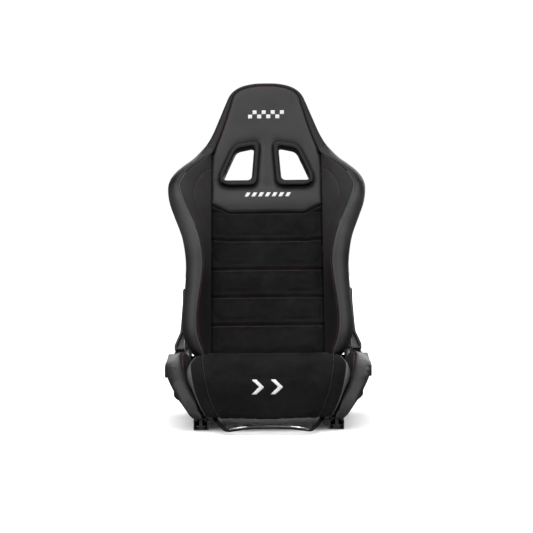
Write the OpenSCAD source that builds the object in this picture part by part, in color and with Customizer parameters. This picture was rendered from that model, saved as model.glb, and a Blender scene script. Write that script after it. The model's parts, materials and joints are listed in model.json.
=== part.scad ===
// Reclining racing seat on slide rails.
// X runs across the seat, -Y is the front, +Z is up. The origin is at the
// centre of the floor bolt pattern, on the underside of the lower rails.

/* [Rails] */
// Spacing of the two rails, hole to hole across the seat
rail_spacing = 335; // [325:1:340]
// Hole pitch along each rail
rail_hole_pitch = 325; // [300:1:340]
// Length of each rail
rail_length = 400; // [380:1:420]
// Width of the lower rail
lower_rail_w = 36; // [36:1:38]
// Radius of the floor bolt holes
rail_hole_r = 4.25; // [3.25:0.25:5.25]

/* [Base] */
// Half width of the front roll at its top
roll_half_top = 199; // [190:1:200]
// Half width of the front roll at its bottom
roll_half_bottom = 155; // [150:1:165]
// Height of the top of the front roll
roll_top = 188; // [180:1:190]
// Height of the bottom edge of the front roll
roll_bottom = 31; // [30:1:34]
// Height of the sitting surface
cushion_top = 138; // [128:1:142]
// Outer half width of the base bolsters
bolster_half = 264; // [260:1:268]

/* [Backrest] */
// Lean of the backrest from upright, degrees
back_lean = 15; // [12:0.5:17]
// Pivot distance behind the origin
pivot_y = 190; // [188:1:194]
// Pivot height above the rails' underside
pivot_z = 150; // [148:1:152]
// Half width of the centre panel
panel_half = 156; // [152:1:158]
// Thickness of the centre and head pads
pad_thick = 38; // [34:1:42]
// How far the shoulder bolsters stand in front of the frame
wing_depth = 122; // [110:1:126]

/* [Release] */
// Radius of the cross shaft between the recline levers
shaft_r = 7; // [6:0.5:8]
// Length of the recline levers from the shaft to the tip
lever_length = 131; // [120:1:135]
// Radius of the slide release bar
bar_r = 5; // [4:0.5:5.5]

/* [Hidden] */
$fn = 48;

// left is the side at -X, right the side at +X
LEFT = -1;
RIGHT = 1;
rail_x = rail_spacing / 2;
fit = 0.05;

// lower rail section
wall = 2.5;
lower_rail_h = 24;
lip_slot = 9;

// upper rail section, heights above the floor
foot_z = 8;
head_z = 26;
head_h = 12;
head_half = 15;
flange_z = head_z + head_h;
flange_t = 4;

// base frame
web_x = 186;
pan_z = 70;
pan_t = 3;
foam_z = pan_z + pan_t;
base_rear = 98;

// recliner stack, distances from the centre plane
plate_x = 212;
plate_t = 5;
disc_t = 7;
arm_x = plate_x + plate_t + disc_t + 0.5;
arm_t = 5;
spindle_r = 14;
spindle_end = 236;
cover_x = arm_x + arm_t + 1;
valance_x = 238;
valance_t = 19;
lever_x = 259;
lever_t = 16;

// backrest layers, distances in front of the frame plane
frame_r = 11;
pad_back = frame_r + 1;
pad_front = pad_back + pad_thick;
shell_back = -42;
shell_t = 5;
tube_x = 195;
side_tube_foot = 62;
hoop_foot = 540;
lower_tube_v = 74;
middle_tube_v = 470;

// slide release
release_y = -180;
release_z = 31;
hub_r = 9;
pin_r = 4;

// Catmull-Rom curve through the points p, with n steps for each stretch
function at(p, i) = p[max(0, min(len(p) - 1, i))];
function spline_point(a, b, c, d, t) =
    0.5 * (2 * b + (c - a) * t + (2 * a - 5 * b + 4 * c - d) * t * t
        + (3 * b - a - 3 * c + d) * t * t * t);
function spline(p, n) = concat(
    [for (i = [0 : len(p) - 2]) for (k = [0 : n - 1])
        spline_point(at(p, i - 1), p[i], p[i + 1], at(p, i + 2), k / n)],
    [p[len(p) - 1]]);

// Outline p with each corner rounded by a short curve that starts r from the corner
function toward(a, b, r) = a + (b - a) / norm(b - a) * r;
function bend(a, b, c, t) = a * (1 - t) * (1 - t) + b * 2 * t * (1 - t) + c * t * t;
function rounded(p, r, n = 4) = [
    for (i = [0 : len(p) - 1]) for (k = [0 : n])
        bend(toward(p[i], p[(i + len(p) - 1) % len(p)], r), p[i],
            toward(p[i], p[(i + 1) % len(p)], r), k / n)];
function mirrored(p) = concat(p, [for (i = [len(p) - 1 : -1 : 0]) if (p[i][0] > 0) [-p[i][0], p[i][1]]]);
function shrunk(p, centre, k) = [for (q = p) centre + (q - centre) * k];

// Solid through a stack of sections with the same number of points
module loft(sections) {
    n = len(sections[0]);
    last = len(sections) - 1;
    points = [for (s = sections) for (q = s) q];
    sides = [
        for (i = [0 : last - 1]) for (k = [0 : n - 1]) for (half = [0, 1])
            let (a = i * n + k, b = i * n + (k + 1) % n)
            half == 0 ? [a, b, b + n] : [a, b + n, a + n]];
    bottom = [for (k = [n - 1 : -1 : 0]) k];
    top = [for (k = [0 : n - 1]) last * n + k];
    polyhedron(points, concat(sides, [bottom, top]));
}

// Round bar of radius r swept along the points p, which never run straight up
function unit(v) = v / norm(v);
function sides_at(p, i, up) =
    let (t = unit(at(p, i + 1) - at(p, i - 1)), s = unit(cross(t, up))) [s, cross(s, t)];
module swept_bar(p, r, up) {
    loft([
        for (i = [0 : len(p) - 1])
            let (f = sides_at(p, i, up))
            [for (k = [0 : 15]) p[i] + r * (f[0] * cos(k * 22.5) + f[1] * sin(k * 22.5))]]);
}
function both_sides(p) = concat(p, [
    for (i = [len(p) - 1 : -1 : 0]) if (p[i][0] > 0) [-p[i][0], p[i][1], p[i][2]]]);

// Plate in the YZ plane, from x = a to x = b on the given side
module side_plate(side, a, b) {
    translate([side > 0 ? a : -b, 0, 0])
        rotate([90, 0, 90])
            linear_extrude(b - a)
                children();
}

// Cylinder along X from x = a to x = b on the given side
module axle(side, a, b, r) {
    translate([side > 0 ? a : -b, 0, 0])
        rotate([0, 90, 0])
            cylinder(h = b - a, r = r);
}

module at_pivot() {
    translate([0, pivot_y, pivot_z])
        children();
}

// Backrest frame of reference: Z along the back from the pivot, -Y out of its front
module on_back() {
    at_pivot()
        rotate([-back_lean, 0, 0])
            children();
}

// Outline in the backrest's plane, extruded from depth w0 to depth w1
module back_plate(w0, w1) {
    translate([0, -w0, 0])
        rotate([90, 0, 0])
            linear_extrude(w1 - w0)
                children();
}

// ---------- lower rails ----------

module lower_rail(side) {
    half = lower_rail_w / 2;
    color("#161617")
        translate([side * rail_x, 0, 0])
            difference() {
                translate([-half, -rail_length / 2, 0])
                    cube([lower_rail_w, rail_length, lower_rail_h]);
                translate([-half + wall, -rail_length / 2 - 1, wall])
                    cube([lower_rail_w - 2 * wall, rail_length + 2, lower_rail_h - 2 * wall]);
                translate([-lip_slot, -rail_length / 2 - 1, wall])
                    cube([2 * lip_slot, rail_length + 2, lower_rail_h]);
                for (end = [-1, 1])
                    translate([0, end * rail_hole_pitch / 2, -1])
                        cylinder(h = wall + 2, r = rail_hole_r);
            }
}

rack_w = 7.5;
rack_z = 17;
rack_t = 3;
rack_pitch = 12;

module latch_rack(side) {
    inner = rail_x - lower_rail_w / 2;
    color("#3a3a3c")
        difference() {
            translate([side > 0 ? inner - rack_w : -inner, -180, rack_z])
                cube([rack_w, 360, rack_t]);
            for (i = [-14 : 14])
                translate([side * (inner - rack_w), i * rack_pitch, rack_z - 1])
                    cube([2 * (rack_w - 2.5), rack_pitch / 2, 4 * rack_t], center = true);
        }
}

module rail_bumpers() {
    color("#1c1c1c")
        for (side = [LEFT, RIGHT], end = [-1, 1])
            translate([side * rail_x - 8, end > 0 ? rail_length / 2 - 14.5 : -rail_length / 2 + 0.5, wall])
                cube([16, 14, 4.5]);
}

// ---------- sliding base frame ----------

module upper_rail(side) {
    color("#1f1f21")
        translate([side * rail_x, rail_length / 2, 0])
            rotate([90, 0, 0])
                linear_extrude(rail_length)
                    difference() {
                        union() {
                            translate([-12, foot_z])
                                square([24, 3]);
                            translate([-4, foot_z + 2])
                                square([8, head_z - foot_z]);
                            translate([-head_half, head_z])
                                square([2 * head_half, head_h]);
                        }
                        translate([-head_half + 3, head_z + 3])
                            square([2 * head_half - 6, head_h - 6]);
                    }
}

module rail_glides() {
    color("#d8d8d4")
        for (side = [LEFT, RIGHT], end = [-1, 1])
            translate([side * rail_x, end * 65, 0]) {
                translate([-12, -20, 3])
                    cube([24, 40, foot_z - 3]);
                for (edge = [4.5, -12])
                    translate([edge, -20, foot_z + 3])
                        cube([7.5, 40, 10]);
            }
}

bolt_y = 120;

module side_frame(side) {
    color("#202022")
        difference() {
            union() {
                // flange on the upper rail, wider at the recliner
                side_plate(side, rail_x - 18, web_x + 4)
                    translate([-rail_length / 2 + 5, flange_z])
                        square([rail_length, flange_t]);
                side_plate(side, web_x, plate_x + plate_t)
                    translate([base_rear + 4, flange_z])
                        square([226 - base_rear - 4, flange_t]);
                // upright web that carries the pan
                side_plate(side, web_x, web_x + 4)
                    polygon([
                        [-195, flange_z], [-195, pan_z], [150, pan_z], [205, flange_z + 10],
                        [205, flange_z]]);
            }
            for (end = [-1, 1])
                translate([side * rail_x, end * bolt_y, 0])
                    cylinder(h = 80, r = 4 + fit);
        }
}

module frame_bolts() {
    color("#8d8d8f")
        for (side = [LEFT, RIGHT], end = [-1, 1])
            translate([side * rail_x, end * bolt_y, flange_z]) {
                cylinder(h = flange_t, r = 4);
                translate([0, 0, flange_t])
                    cylinder(h = 5, r = 6.5, $fn = 6);
            }
}

module cross_tube(y, z) {
    color("#202022")
        translate([-web_x, y, z])
            rotate([0, 90, 0])
                difference() {
                    cylinder(h = 2 * web_x, r = frame_r);
                    translate([0, 0, -1])
                        cylinder(h = 2 * web_x + 2, r = frame_r - 2);
                }
}

module seat_pan() {
    color("#2a2a2c")
        side_plate(RIGHT, -web_x - 4, web_x + 4)
            polygon([[-204, 48], [-204, foam_z], [150, foam_z], [150, pan_z], [-201, pan_z], [-201, 48]]);
}

// ---------- cushion ----------

module seat_cushion() {
    half = [
        [0, foam_z], [web_x, foam_z], [194, 96], [196, 124], [182, 142], [150, cushion_top],
        [0, cushion_top - 4]];
    color("#1c1c1d")
        translate([0, 164, 0])
            rotate([90, 0, 0])
                linear_extrude(164 + 118)
                    polygon(mirrored(half));
}

module front_roll() {
    side_view = [
        [-206, 43], [-216, 34], [-236, roll_bottom], [-246, 48], [-250, 80], [-251, 112], [-246, 150],
        [-228, 178], [-200, roll_top], [-165, 184], [-135, 166], [-119, 140], [-119, foam_z],
        [-206, foam_z]];
    front = spline(mirrored([
        [0, roll_bottom], [roll_half_bottom - 24, roll_bottom], [roll_half_bottom - 4, roll_bottom + 1],
        [roll_half_bottom + 4, 38], [roll_half_bottom + 13, 53], [roll_half_bottom + 23, 76],
        [roll_half_top - 13, 100], [roll_half_top - 5, 122], [roll_half_top, 147],
        [roll_half_top - 1, 162], [roll_half_top - 10, 179], [roll_half_top - 27, roll_top],
        [0, roll_top]]), 2);
    color("#1f1f20")
        intersection() {
            side_plate(RIGHT, -200, 200)
                polygon(side_view);
            translate([0, -100, 0])
                rotate([90, 0, 0])
                    linear_extrude(160)
                        polygon(front);
        }
}

module base_bolster(side) {
    // section across the seat, from the inner lower edge outwards and back over the top
    face = spline([
        [191.5, 36], [200, 36.5], [213, 41], [224, 54], [236, 76], [246, 100], [254, 124],
        [bolster_half - 3, 144], [bolster_half, 157], [258, 169], [244, 176], [228, 177], [216, 172],
        [208, 157], [204, 130], [199, 96], [191.5, 76]], 2);
    // seen from the side, low at the front and rising to the recliner
    flank = spline([
        [-214, 36], [-216, 52], [-206, 84], [-178, 120], [-130, 153], [-70, 173], [-20, 178], [40, 178],
        [97, 170]], 3);
    // seen from above, drawn in at the front and beside the side cover
    plan = spline([
        [-216, 212], [-196, 240], [-150, 260], [-100, bolster_half], [-50, bolster_half], [-15, 255],
        [12, 236.5]], 3);
    // the nose that wraps in front of the rail, towards the roll, seen from the front and from above
    nose_face = [
        [159, 33], [174, 31.5], [198, 37], [213, 50], [226, 70], [228, 92], [212, 112], [199, 112],
        [186, 78], [168, 44]];
    nose_plan = [[-206, 156], [-226, 156], [-231, 170], [-231, 186], [-226, 204], [-218, 216], [-206, 226]];
    color("#333335")
        union() {
            intersection() {
                translate([0, 97, 0])
                    rotate([90, 0, 0])
                        linear_extrude(320)
                            polygon([for (q = face) [side * q[0], q[1]]]);
                side_plate(side, 180, 280)
                    polygon(concat(flank, [[97, 44], [base_rear - 20, 36]]));
                linear_extrude(200)
                    polygon([
                        for (q = concat(plan, [[97, 236.5], [97, 180], [-216, 180]])) [side * q[1], q[0]]]);
            }
            intersection() {
                translate([0, -200, 0])
                    rotate([90, 0, 0])
                        linear_extrude(40)
                            polygon([for (q = nose_face) [side * q[0], q[1]]]);
                linear_extrude(120)
                    polygon([for (q = nose_plan) [side * q[1], q[0]]]);
            }
        }
}

// ---------- recliner ----------

module recliner_plate(side) {
    color("#18181a")
        difference() {
            side_plate(side, plate_x, plate_x + plate_t)
                union() {
                    translate([pivot_y, pivot_z])
                        circle(r = 34);
                    polygon([
                        [102, flange_z + flange_t], [102, 66], [pivot_y - 31, pivot_z + 10],
                        [pivot_y, pivot_z], [pivot_y + 31, pivot_z - 12], [216, 100],
                        [224, flange_z + flange_t]]);
                }
            at_pivot()
                axle(side, plate_x - 1, plate_x + plate_t + 1, spindle_r + fit);
        }
}

module ring(side, a, b, r_out, r_in) {
    difference() {
        axle(side, a, b, r_out);
        axle(side, a - 1, b + 1, r_in);
    }
}

module recliner_disc(side) {
    color("#6a6b6e")
        at_pivot()
            difference() {
                ring(side, plate_x + plate_t, plate_x + plate_t + disc_t, 33, spindle_r + fit);
                // stamped pockets around the disc
                for (a = [0 : 60 : 300])
                    rotate([a, 0, 0])
                        translate([0, 0, 23])
                            axle(side, plate_x + plate_t + disc_t - 2, plate_x + plate_t + disc_t + 1, 4.5);
            }
}

module recliner_spindle(side) {
    color("#8d8d8f")
        at_pivot()
            ring(side, plate_x, spindle_end, spindle_r, shaft_r + fit);
}

module spindle_clips() {
    color("#8d8d8f")
        at_pivot()
            for (side = [LEFT, RIGHT])
                ring(side, arm_x + arm_t + 0.5, arm_x + arm_t + 3, 19, spindle_r + fit);
}

module valance_section(side, points) {
    translate([0, 240, 0])
        rotate([90, 0, 0])
            linear_extrude(240)
                polygon([for (q = points) [side * (valance_x + q[0]), q[1]]]);
}

module side_cover(side) {
    outline = rounded([
        [18, 66], [32, 130], [76, 158], [150, 166], [pivot_y + 2, 169], [pivot_y + 20, 146], [214, 116],
        [224, 88], [208, 48], [50, 48]], 7, 3);
    centre = [125, 108];
    // seen from the front, the outer face leans in below the levers, [from the inner face, height]
    outside = [[-2, 43], [1, 46], [11, 60], [12, 78], [valance_t, 96], [valance_t, 175], [-2, 175]];
    hollow = [[-2, 49], [8, 63], [9, 81], [valance_t - 3, 99], [valance_t - 3, 175], [-2, 175]];
    color("#262627")
        difference() {
            intersection() {
                side_plate(side, valance_x, valance_x + valance_t)
                    polygon(outline);
                valance_section(side, outside);
            }
            intersection() {
                side_plate(side, valance_x - 1, valance_x + valance_t - 3)
                    polygon(shrunk(outline, centre, 0.94));
                valance_section(side, hollow);
            }
            at_pivot()
                axle(side, valance_x, valance_x + valance_t + 1, shaft_r + 1.5);
        }
}

// ---------- slide release, on the base ----------

module release_pin(side) {
    color("#8d8d8f")
        translate([0, release_y, release_z])
            union() {
                axle(side, 118, rail_x - head_half, pin_r);
                axle(side, 116, 118, pin_r + 2.5);
            }
}

module release_springs() {
    color("#b0b0b0")
        for (side = [LEFT, RIGHT])
            for (i = [0 : 4])
                translate([side * (121 + 2.4 * i), release_y, release_z])
                    rotate([0, 90, 0])
                        rotate_extrude()
                            translate([pin_r + 2, 0])
                                circle(r = 1, $fn = 16);
}

// ---------- backrest frame ----------

// half width of the backrest at its back edge, [half width, distance up the back]
back_outline = spline([
    [190, 20], [212, 46], [222, 84], [222, 150], [220, 200], [220, 262], [232, 330], [252, 385], [268, 428],
    [275.5, 466], [272, 497], [258, 523], [236, 548], [209, 572], [183, 597], [166, 621], [151, 650],
    [134, 694], [115, 741], [104, 766], [88, 783], [64, 796], [32, 803], [0, 804]], 2);

module recliner_arm(side) {
    color("#242426")
        on_back()
            difference() {
                union() {
                    side_plate(side, arm_x, arm_x + arm_t)
                        union() {
                            circle(r = 32);
                            polygon([[-31, 6], [-24, 60], [-20, 184], [20, 184], [24, 60], [31, 6]]);
                        }
                    for (v = [100, 165])
                        translate([0, 0, v])
                            axle(side, tube_x + frame_r, arm_x + 0.5, 8);
                }
                axle(side, arm_x - 1, arm_x + arm_t + 1, spindle_r + fit);
            }
}

module recliner_cover(side) {
    rim = [
        [cover_x, 192], [cover_x + 3, 190], [cover_x + 5, 185], [cover_x + 5, 151], [240, 83], [242, 66],
        [249.6, 49], [257, 31], [257, 20], [cover_x, 20], [cover_x, 23], [252, 23], [252, 29.5],
        [245, 46.5], [237, 65], [cover_x + 1.5, 76], [cover_x, 80]];
    color("#1d1d1f")
        on_back()
            back_plate(-30, 30)
                polygon([for (q = rim) [side * q[0], q[1]]]);
}

module recliner_gusset(side) {
    color("#77787b")
        on_back()
            back_plate(14, 18)
                polygon([
                    for (q = [[cover_x, 77], [249, 28], [249, 24], [cover_x, 24]]) [side * q[0], q[1]]]);
}

module back_side_tube(side) {
    color("#1b1b1c")
        on_back()
            translate([side * tube_x, 0, side_tube_foot])
                difference() {
                    cylinder(h = hoop_foot - side_tube_foot, r = frame_r);
                    translate([0, 0, -1])
                        cylinder(h = hoop_foot - side_tube_foot + 2, r = frame_r - 1.5);
                }
}

module back_top_hoop() {
    half = [
        [tube_x, 0, hoop_foot], [tube_x, 0, hoop_foot + 7], [tube_x, 0, hoop_foot + 12], [150, 0, 606],
        [108, 0, 684], [78, 0, 740]];
    color("#1b1b1c")
        on_back()
            swept_bar(both_sides(spline(half, 4)), frame_r, [0, 1, 0]);
}

module back_cross_tube(v) {
    color("#1b1b1c")
        on_back()
            translate([0, 0, v])
                difference() {
                    axle(RIGHT, -tube_x, tube_x, 8);
                    for (side = [LEFT, RIGHT])
                        translate([side * tube_x, 0, -20])
                            cylinder(h = 40, r = frame_r);
                }
}

module lumbar_straps() {
    reach = tube_x - frame_r;
    color("#101010")
        on_back()
            for (v = [120 : 75 : 420])
                translate([-reach, -2, v - 20])
                    cube([2 * reach, 4, 40]);
}

// ---------- harness openings ----------

// opening seen from the front, in the seat's own X and Z
bezel_outline = rounded([[19, 759], [93, 751], [143, 652], [122, 633], [27, 633]], 12, 4);
hole_outline = rounded([[34, 742], [88, 733], [125, 648], [42, 648]], 8, 4);

module through_back(outline, side) {
    translate([0, 500, 0])
        rotate([90, 0, 0])
            linear_extrude(500)
                polygon([for (q = outline) [side * q[0], q[1]]]);
}

module bezel_cut() {
    for (side = [LEFT, RIGHT])
        through_back(bezel_outline, side);
}

module harness_bezel(side) {
    color("#1b1b1c")
        intersection() {
            difference() {
                through_back(bezel_outline, side);
                through_back(hole_outline, side);
            }
            on_back()
                back_plate(shell_back - 2, pad_front + 5)
                    translate([-300, 300])
                        square([600, 500]);
        }
}

// ---------- backrest upholstery ----------

module back_shell() {
    color("#29292a")
        difference() {
            on_back()
                difference() {
                    back_plate(shell_back, pad_back)
                        polygon(mirrored(back_outline));
                    back_plate(shell_back + shell_t, pad_back + 1)
                        polygon(mirrored([
                            for (q = back_outline) [max(0, q[0] - 7), 400 + (q[1] - 400) * 0.98]]));
                    for (side = [LEFT, RIGHT], v = [100, 165])
                        translate([0, 0, v])
                            axle(side, 200, 230, 8.5);
                }
            bezel_cut();
        }
}

module centre_pad() {
    half = [[0, -12], [150, -12], [panel_half, 8], [panel_half, 430], [108, 406], [0, 406]];
    color("#18181a")
        on_back()
            back_plate(pad_back, pad_front - 4)
                polygon(mirrored(half));
}

module head_pad() {
    head = [for (q = back_outline) if (q[1] > 640) q - [2, 2]];
    half = concat([[0, 407], [108, 407], [panel_half, 431], [panel_half, 628]], head);
    color("#3a3a3b")
        difference() {
            on_back()
                back_plate(pad_back, pad_front)
                    polygon(mirrored([for (q = half) [max(0, q[0]), q[1]]]));
            bezel_cut();
        }
}

// [distance up the back, outer half width at the back, outer half width in front, ridge, depth]
bolster_rows = spline([
    [-8, 182, 190, 172, 78], [6, 186, 205, 175, 82], [24, 195, 214, 180, 85], [50, 214, 226, 187, 89],
    [84, 222, 233, 191, 93], [150, 222, 231, 187, 97], [220, 221, 224, 182, 99], [290, 222, 224, 182, 103],
    [360, 242, 244, 201, 112], [420, 264, 267, 227, 119], [478, 275, 276, 238, wing_depth],
    [520, 259, 260, 214, 99], [566, 213, 214, 172, 68], [600, 180, 181, 168, 52],
    [628, 162, 162.5, 160.5, 44]], 2);

module back_bolster(side) {
    inner = panel_half + 1;
    sections = [
        for (row = bolster_rows)
            let (
                v = row[0], back = row[1], front = row[2], ridge = row[3], w = row[4],
                sill = min(w - 4, pad_front - 6),
                section = [
                    [inner, pad_back], [inner, sill], [max(inner + 1, ridge - 9), w - 6], [ridge + 4, w],
                    [ridge + (front - ridge) * 0.7, w - 14], [front, w - (w - pad_back) * 0.45],
                    [max(back, front - 4), min(40, w - 6)], [back, min(34, w - 10)], [back - 1, pad_back]])
            [for (q = section) [q[0], -q[1], v]]];
    color("#2f2f31")
        on_back()
            mirror([side < 0 ? 1 : 0, 0, 0])
                loft(sections);
}

// ---------- recline release ----------

module release_shaft() {
    color("#9a9a9c")
        at_pivot()
            axle(RIGHT, -lever_x - 12, lever_x + 12, shaft_r);
}

module recline_lever(side) {
    tip = [-lever_length + 3, -28];
    color("#232325")
        at_pivot()
            difference() {
                side_plate(side, lever_x, lever_x + lever_t)
                    union() {
                        circle(r = 12.5);
                        translate(tip)
                            circle(r = 14);
                        polygon([[-2, 12.3], tip + [-3, 13.5], tip + [3, -13.5], [4, -11.8]]);
                    }
                axle(side, lever_x - 1, lever_x + 12, shaft_r + fit);
            }
}

module lever_screws() {
    color("#8d8d8f")
        at_pivot()
            for (side = [LEFT, RIGHT])
                axle(side, lever_x + lever_t, lever_x + lever_t + 2, 5);
}

// ---------- slide release, moving ----------

module release_bar() {
    half = [
        [138, release_y + 3, 30], [129, -208, 25], [107, -283, 13.5], [97, -295, 12], [84, -297, 13.5],
        [52, -297, 17.5], [0, -297, 19]];
    color("#0c0c0d")
        difference() {
            swept_bar(both_sides(spline(half, 3)), bar_r, [0, 0, 1]);
            for (side = [LEFT, RIGHT])
                translate([0, release_y, release_z])
                    axle(side, 125, 155, hub_r);
        }
}

module release_hubs() {
    color("#2a2a2c")
        translate([0, release_y, release_z])
            for (side = [LEFT, RIGHT])
                ring(side, 133.5, 148, hub_r, pin_r + fit);
}

module latch_pawls() {
    color("#4a4a4d")
        for (side = [LEFT, RIGHT]) {
            difference() {
                side_plate(side, 134, 139)
                    polygon([
                        [release_y + 4, 28], [release_y + 26, 15.5], [release_y + 43, 15.5],
                        [release_y + 43, 9.5], [release_y + 20, 9.5], [release_y, 20]]);
                translate([0, release_y, release_z])
                    axle(side, 130, 150, hub_r);
            }
            for (y = [26, 38])
                side_plate(side, 139, 147)
                    translate([release_y + y, 9.5])
                        square([5, 6]);
        }
}

lower_rail(LEFT);  // lower_rail_left
lower_rail(RIGHT);  // lower_rail_right
latch_rack(LEFT);  // latch_rack_left
latch_rack(RIGHT);  // latch_rack_right
rail_bumpers();
upper_rail(LEFT);  // upper_rail_left
upper_rail(RIGHT);  // upper_rail_right
rail_glides();
side_frame(LEFT);  // side_frame_left
side_frame(RIGHT);  // side_frame_right
frame_bolts();
cross_tube(-176, 57);  // front_cross_tube
cross_tube(132, 57);  // rear_cross_tube
seat_pan();
seat_cushion();
front_roll();
base_bolster(LEFT);  // base_bolster_left
base_bolster(RIGHT);  // base_bolster_right
recliner_plate(LEFT);  // recliner_plate_left
recliner_plate(RIGHT);  // recliner_plate_right
recliner_disc(LEFT);  // recliner_disc_left
recliner_disc(RIGHT);  // recliner_disc_right
recliner_spindle(LEFT);  // recliner_spindle_left
recliner_spindle(RIGHT);  // recliner_spindle_right
spindle_clips();
side_cover(LEFT);  // side_cover_left
side_cover(RIGHT);  // side_cover_right
release_pin(LEFT);  // release_pin_left
release_pin(RIGHT);  // release_pin_right
release_springs();
recliner_arm(LEFT);  // recliner_arm_left
recliner_arm(RIGHT);  // recliner_arm_right
recliner_cover(LEFT);  // recliner_cover_left
recliner_cover(RIGHT);  // recliner_cover_right
recliner_gusset(LEFT);  // recliner_gusset_left
recliner_gusset(RIGHT);  // recliner_gusset_right
back_side_tube(LEFT);  // back_side_tube_left
back_side_tube(RIGHT);  // back_side_tube_right
back_top_hoop();
back_cross_tube(lower_tube_v);  // back_lower_tube
back_cross_tube(middle_tube_v);  // back_middle_tube
lumbar_straps();
back_shell();
centre_pad();
head_pad();
back_bolster(LEFT);  // back_bolster_left
back_bolster(RIGHT);  // back_bolster_right
harness_bezel(LEFT);  // harness_bezel_left
harness_bezel(RIGHT);  // harness_bezel_right
release_shaft();
recline_lever(LEFT);  // recline_lever_left
recline_lever(RIGHT);  // recline_lever_right
lever_screws();
release_bar();
release_hubs();
latch_pawls();
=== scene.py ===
"""Reclining racing seat: upholstery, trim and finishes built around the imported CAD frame.

Lengths inside the script are millimetres. The backrest is built in its own coordinates:
x across, v up the back from the recline pivot, and w out of its front.
"""
import json
import math

import bmesh
import bpy
import numpy as np
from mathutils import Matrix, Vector
from mathutils.bvhtree import BVHTree


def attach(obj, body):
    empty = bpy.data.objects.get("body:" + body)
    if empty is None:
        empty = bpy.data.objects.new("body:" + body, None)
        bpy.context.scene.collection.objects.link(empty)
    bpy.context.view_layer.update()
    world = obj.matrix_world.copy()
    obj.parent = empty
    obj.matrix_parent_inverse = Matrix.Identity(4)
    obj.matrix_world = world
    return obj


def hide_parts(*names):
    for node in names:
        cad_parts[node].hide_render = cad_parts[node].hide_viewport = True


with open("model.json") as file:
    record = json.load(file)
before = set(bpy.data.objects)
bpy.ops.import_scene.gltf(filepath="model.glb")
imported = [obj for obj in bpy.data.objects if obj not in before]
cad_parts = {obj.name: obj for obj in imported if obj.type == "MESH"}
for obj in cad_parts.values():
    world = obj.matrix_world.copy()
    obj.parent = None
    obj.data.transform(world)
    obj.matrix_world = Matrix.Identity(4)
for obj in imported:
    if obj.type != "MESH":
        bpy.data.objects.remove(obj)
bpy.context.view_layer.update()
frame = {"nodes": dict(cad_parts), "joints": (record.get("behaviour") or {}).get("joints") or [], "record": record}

MM = 0.001
LEAN = math.radians(15)
PIVOT = np.array(next(j for j in frame["joints"] if j["name"] == "recline")["pos_m"]) / MM
SIDES = {"left": -1, "right": 1}

# depths in front of the frame plane: the seam of covers and shell, the shell's back, and the head panel
SPLIT_W = 12
SHELL_W = -42
PAD_W = 50
PANEL_HALF = 156
# spacing of the points of the front panels, and of the cushion's and the shell's
PANEL_STEP = 2.6
WIDE_STEP = 3.4
# cloth simulation of the pads
SWELL_FRAMES = 12
SWELL_PRESSURE = 4.0


# ---------- camera ----------

def add_camera():
    """Level camera a little below the harness openings, square on to the seat's front."""
    data = bpy.data.cameras.new("camera")
    data.lens = 88
    data.sensor_width = 36
    data.clip_end = 50
    camera = bpy.data.objects.new("camera", data)
    bpy.context.scene.collection.objects.link(camera)
    camera.location = (-0.0023, -3.41, 0.402)
    camera.rotation_euler = (math.radians(90), math.radians(0.5), 0)
    bpy.context.scene.camera = camera


# ---------- geometry helpers ----------

def place_on_back(p):
    """Points (x, v, w) in the backrest's coordinates, as points of the seat."""
    p = np.asarray(p, float)
    x, v, w = p[..., 0], p[..., 1], p[..., 2]
    y = PIVOT[1] + v * math.sin(LEAN) - w * math.cos(LEAN)
    z = PIVOT[2] + v * math.cos(LEAN) + w * math.sin(LEAN)
    return np.stack([x, y, z], -1)


def height_to_v(z, w):
    """How far up the back the point at depth w lies that is at height z of the seat."""
    return (z - PIVOT[2] - w * math.sin(LEAN)) / math.cos(LEAN)


def turned(direction):
    """Direction in the backrest's coordinates, as one of the seat."""
    return place_on_back(direction) - place_on_back(np.zeros(3))


def smooth_curve(knots, count):
    """count points on the Catmull-Rom curve through the knots."""
    p = np.asarray(knots, float)
    t = np.linspace(0, len(p) - 1, count)
    i = np.clip(t.astype(int), 0, len(p) - 2)
    f = (t - i)[:, None]
    a, b, c, d = p[np.maximum(i - 1, 0)], p[i], p[i + 1], p[np.minimum(i + 2, len(p) - 1)]
    return 0.5 * (2 * b + (c - a) * f + (2 * a - 5 * b + 4 * c - d) * f**2 + (3 * b - a - 3 * c + d) * f**3)


def bezier(a, b, c, d, t):
    """Points at t (0 to 1) on the curve from a to d with control points b and c."""
    return a * (1 - t)**3 + b * 3 * t * (1 - t)**2 + c * 3 * t**2 * (1 - t) + d * t**3


def lookup(knots, x):
    """Smooth value at x of a curve given by rising (x, value) knots."""
    dense = smooth_curve(knots, 40 * len(knots))
    return np.interp(x, dense[:, 0], dense[:, 1])


def monotone(x, y, at):
    """Smooth values at the given places through (x, y) knots, without overshoot."""
    d = np.diff(y) / np.diff(x)
    before, after = d[:-1], d[1:]
    total = np.where(before + after == 0, 1, before + after)
    m = np.concatenate([d[:1], np.where(before * after > 0, 2 * before * after / total, 0), d[-1:]])
    i = np.clip(np.searchsorted(x, at, side="right") - 1, 0, len(x) - 2)
    h = x[i + 1] - x[i]
    t = (at - x[i]) / h
    return (y[i] * (1 + 2 * t) * (1 - t)**2 + m[i] * h * t * (1 - t)**2
            + y[i + 1] * t**2 * (3 - 2 * t) + m[i + 1] * h * t**2 * (t - 1))


def even(points, count, closed=False):
    """count points evenly spaced along a polyline."""
    p = np.asarray(points, float)
    if closed:
        p = np.vstack([p, p[:1]])
    s = np.r_[0, np.cumsum(np.linalg.norm(np.diff(p, axis=0), axis=1))]
    t = np.linspace(0, s[-1], count + 1)[:-1] if closed else np.linspace(0, s[-1], count)
    return np.stack([np.interp(t, s, p[:, k]) for k in range(p.shape[1])], -1)


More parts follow.
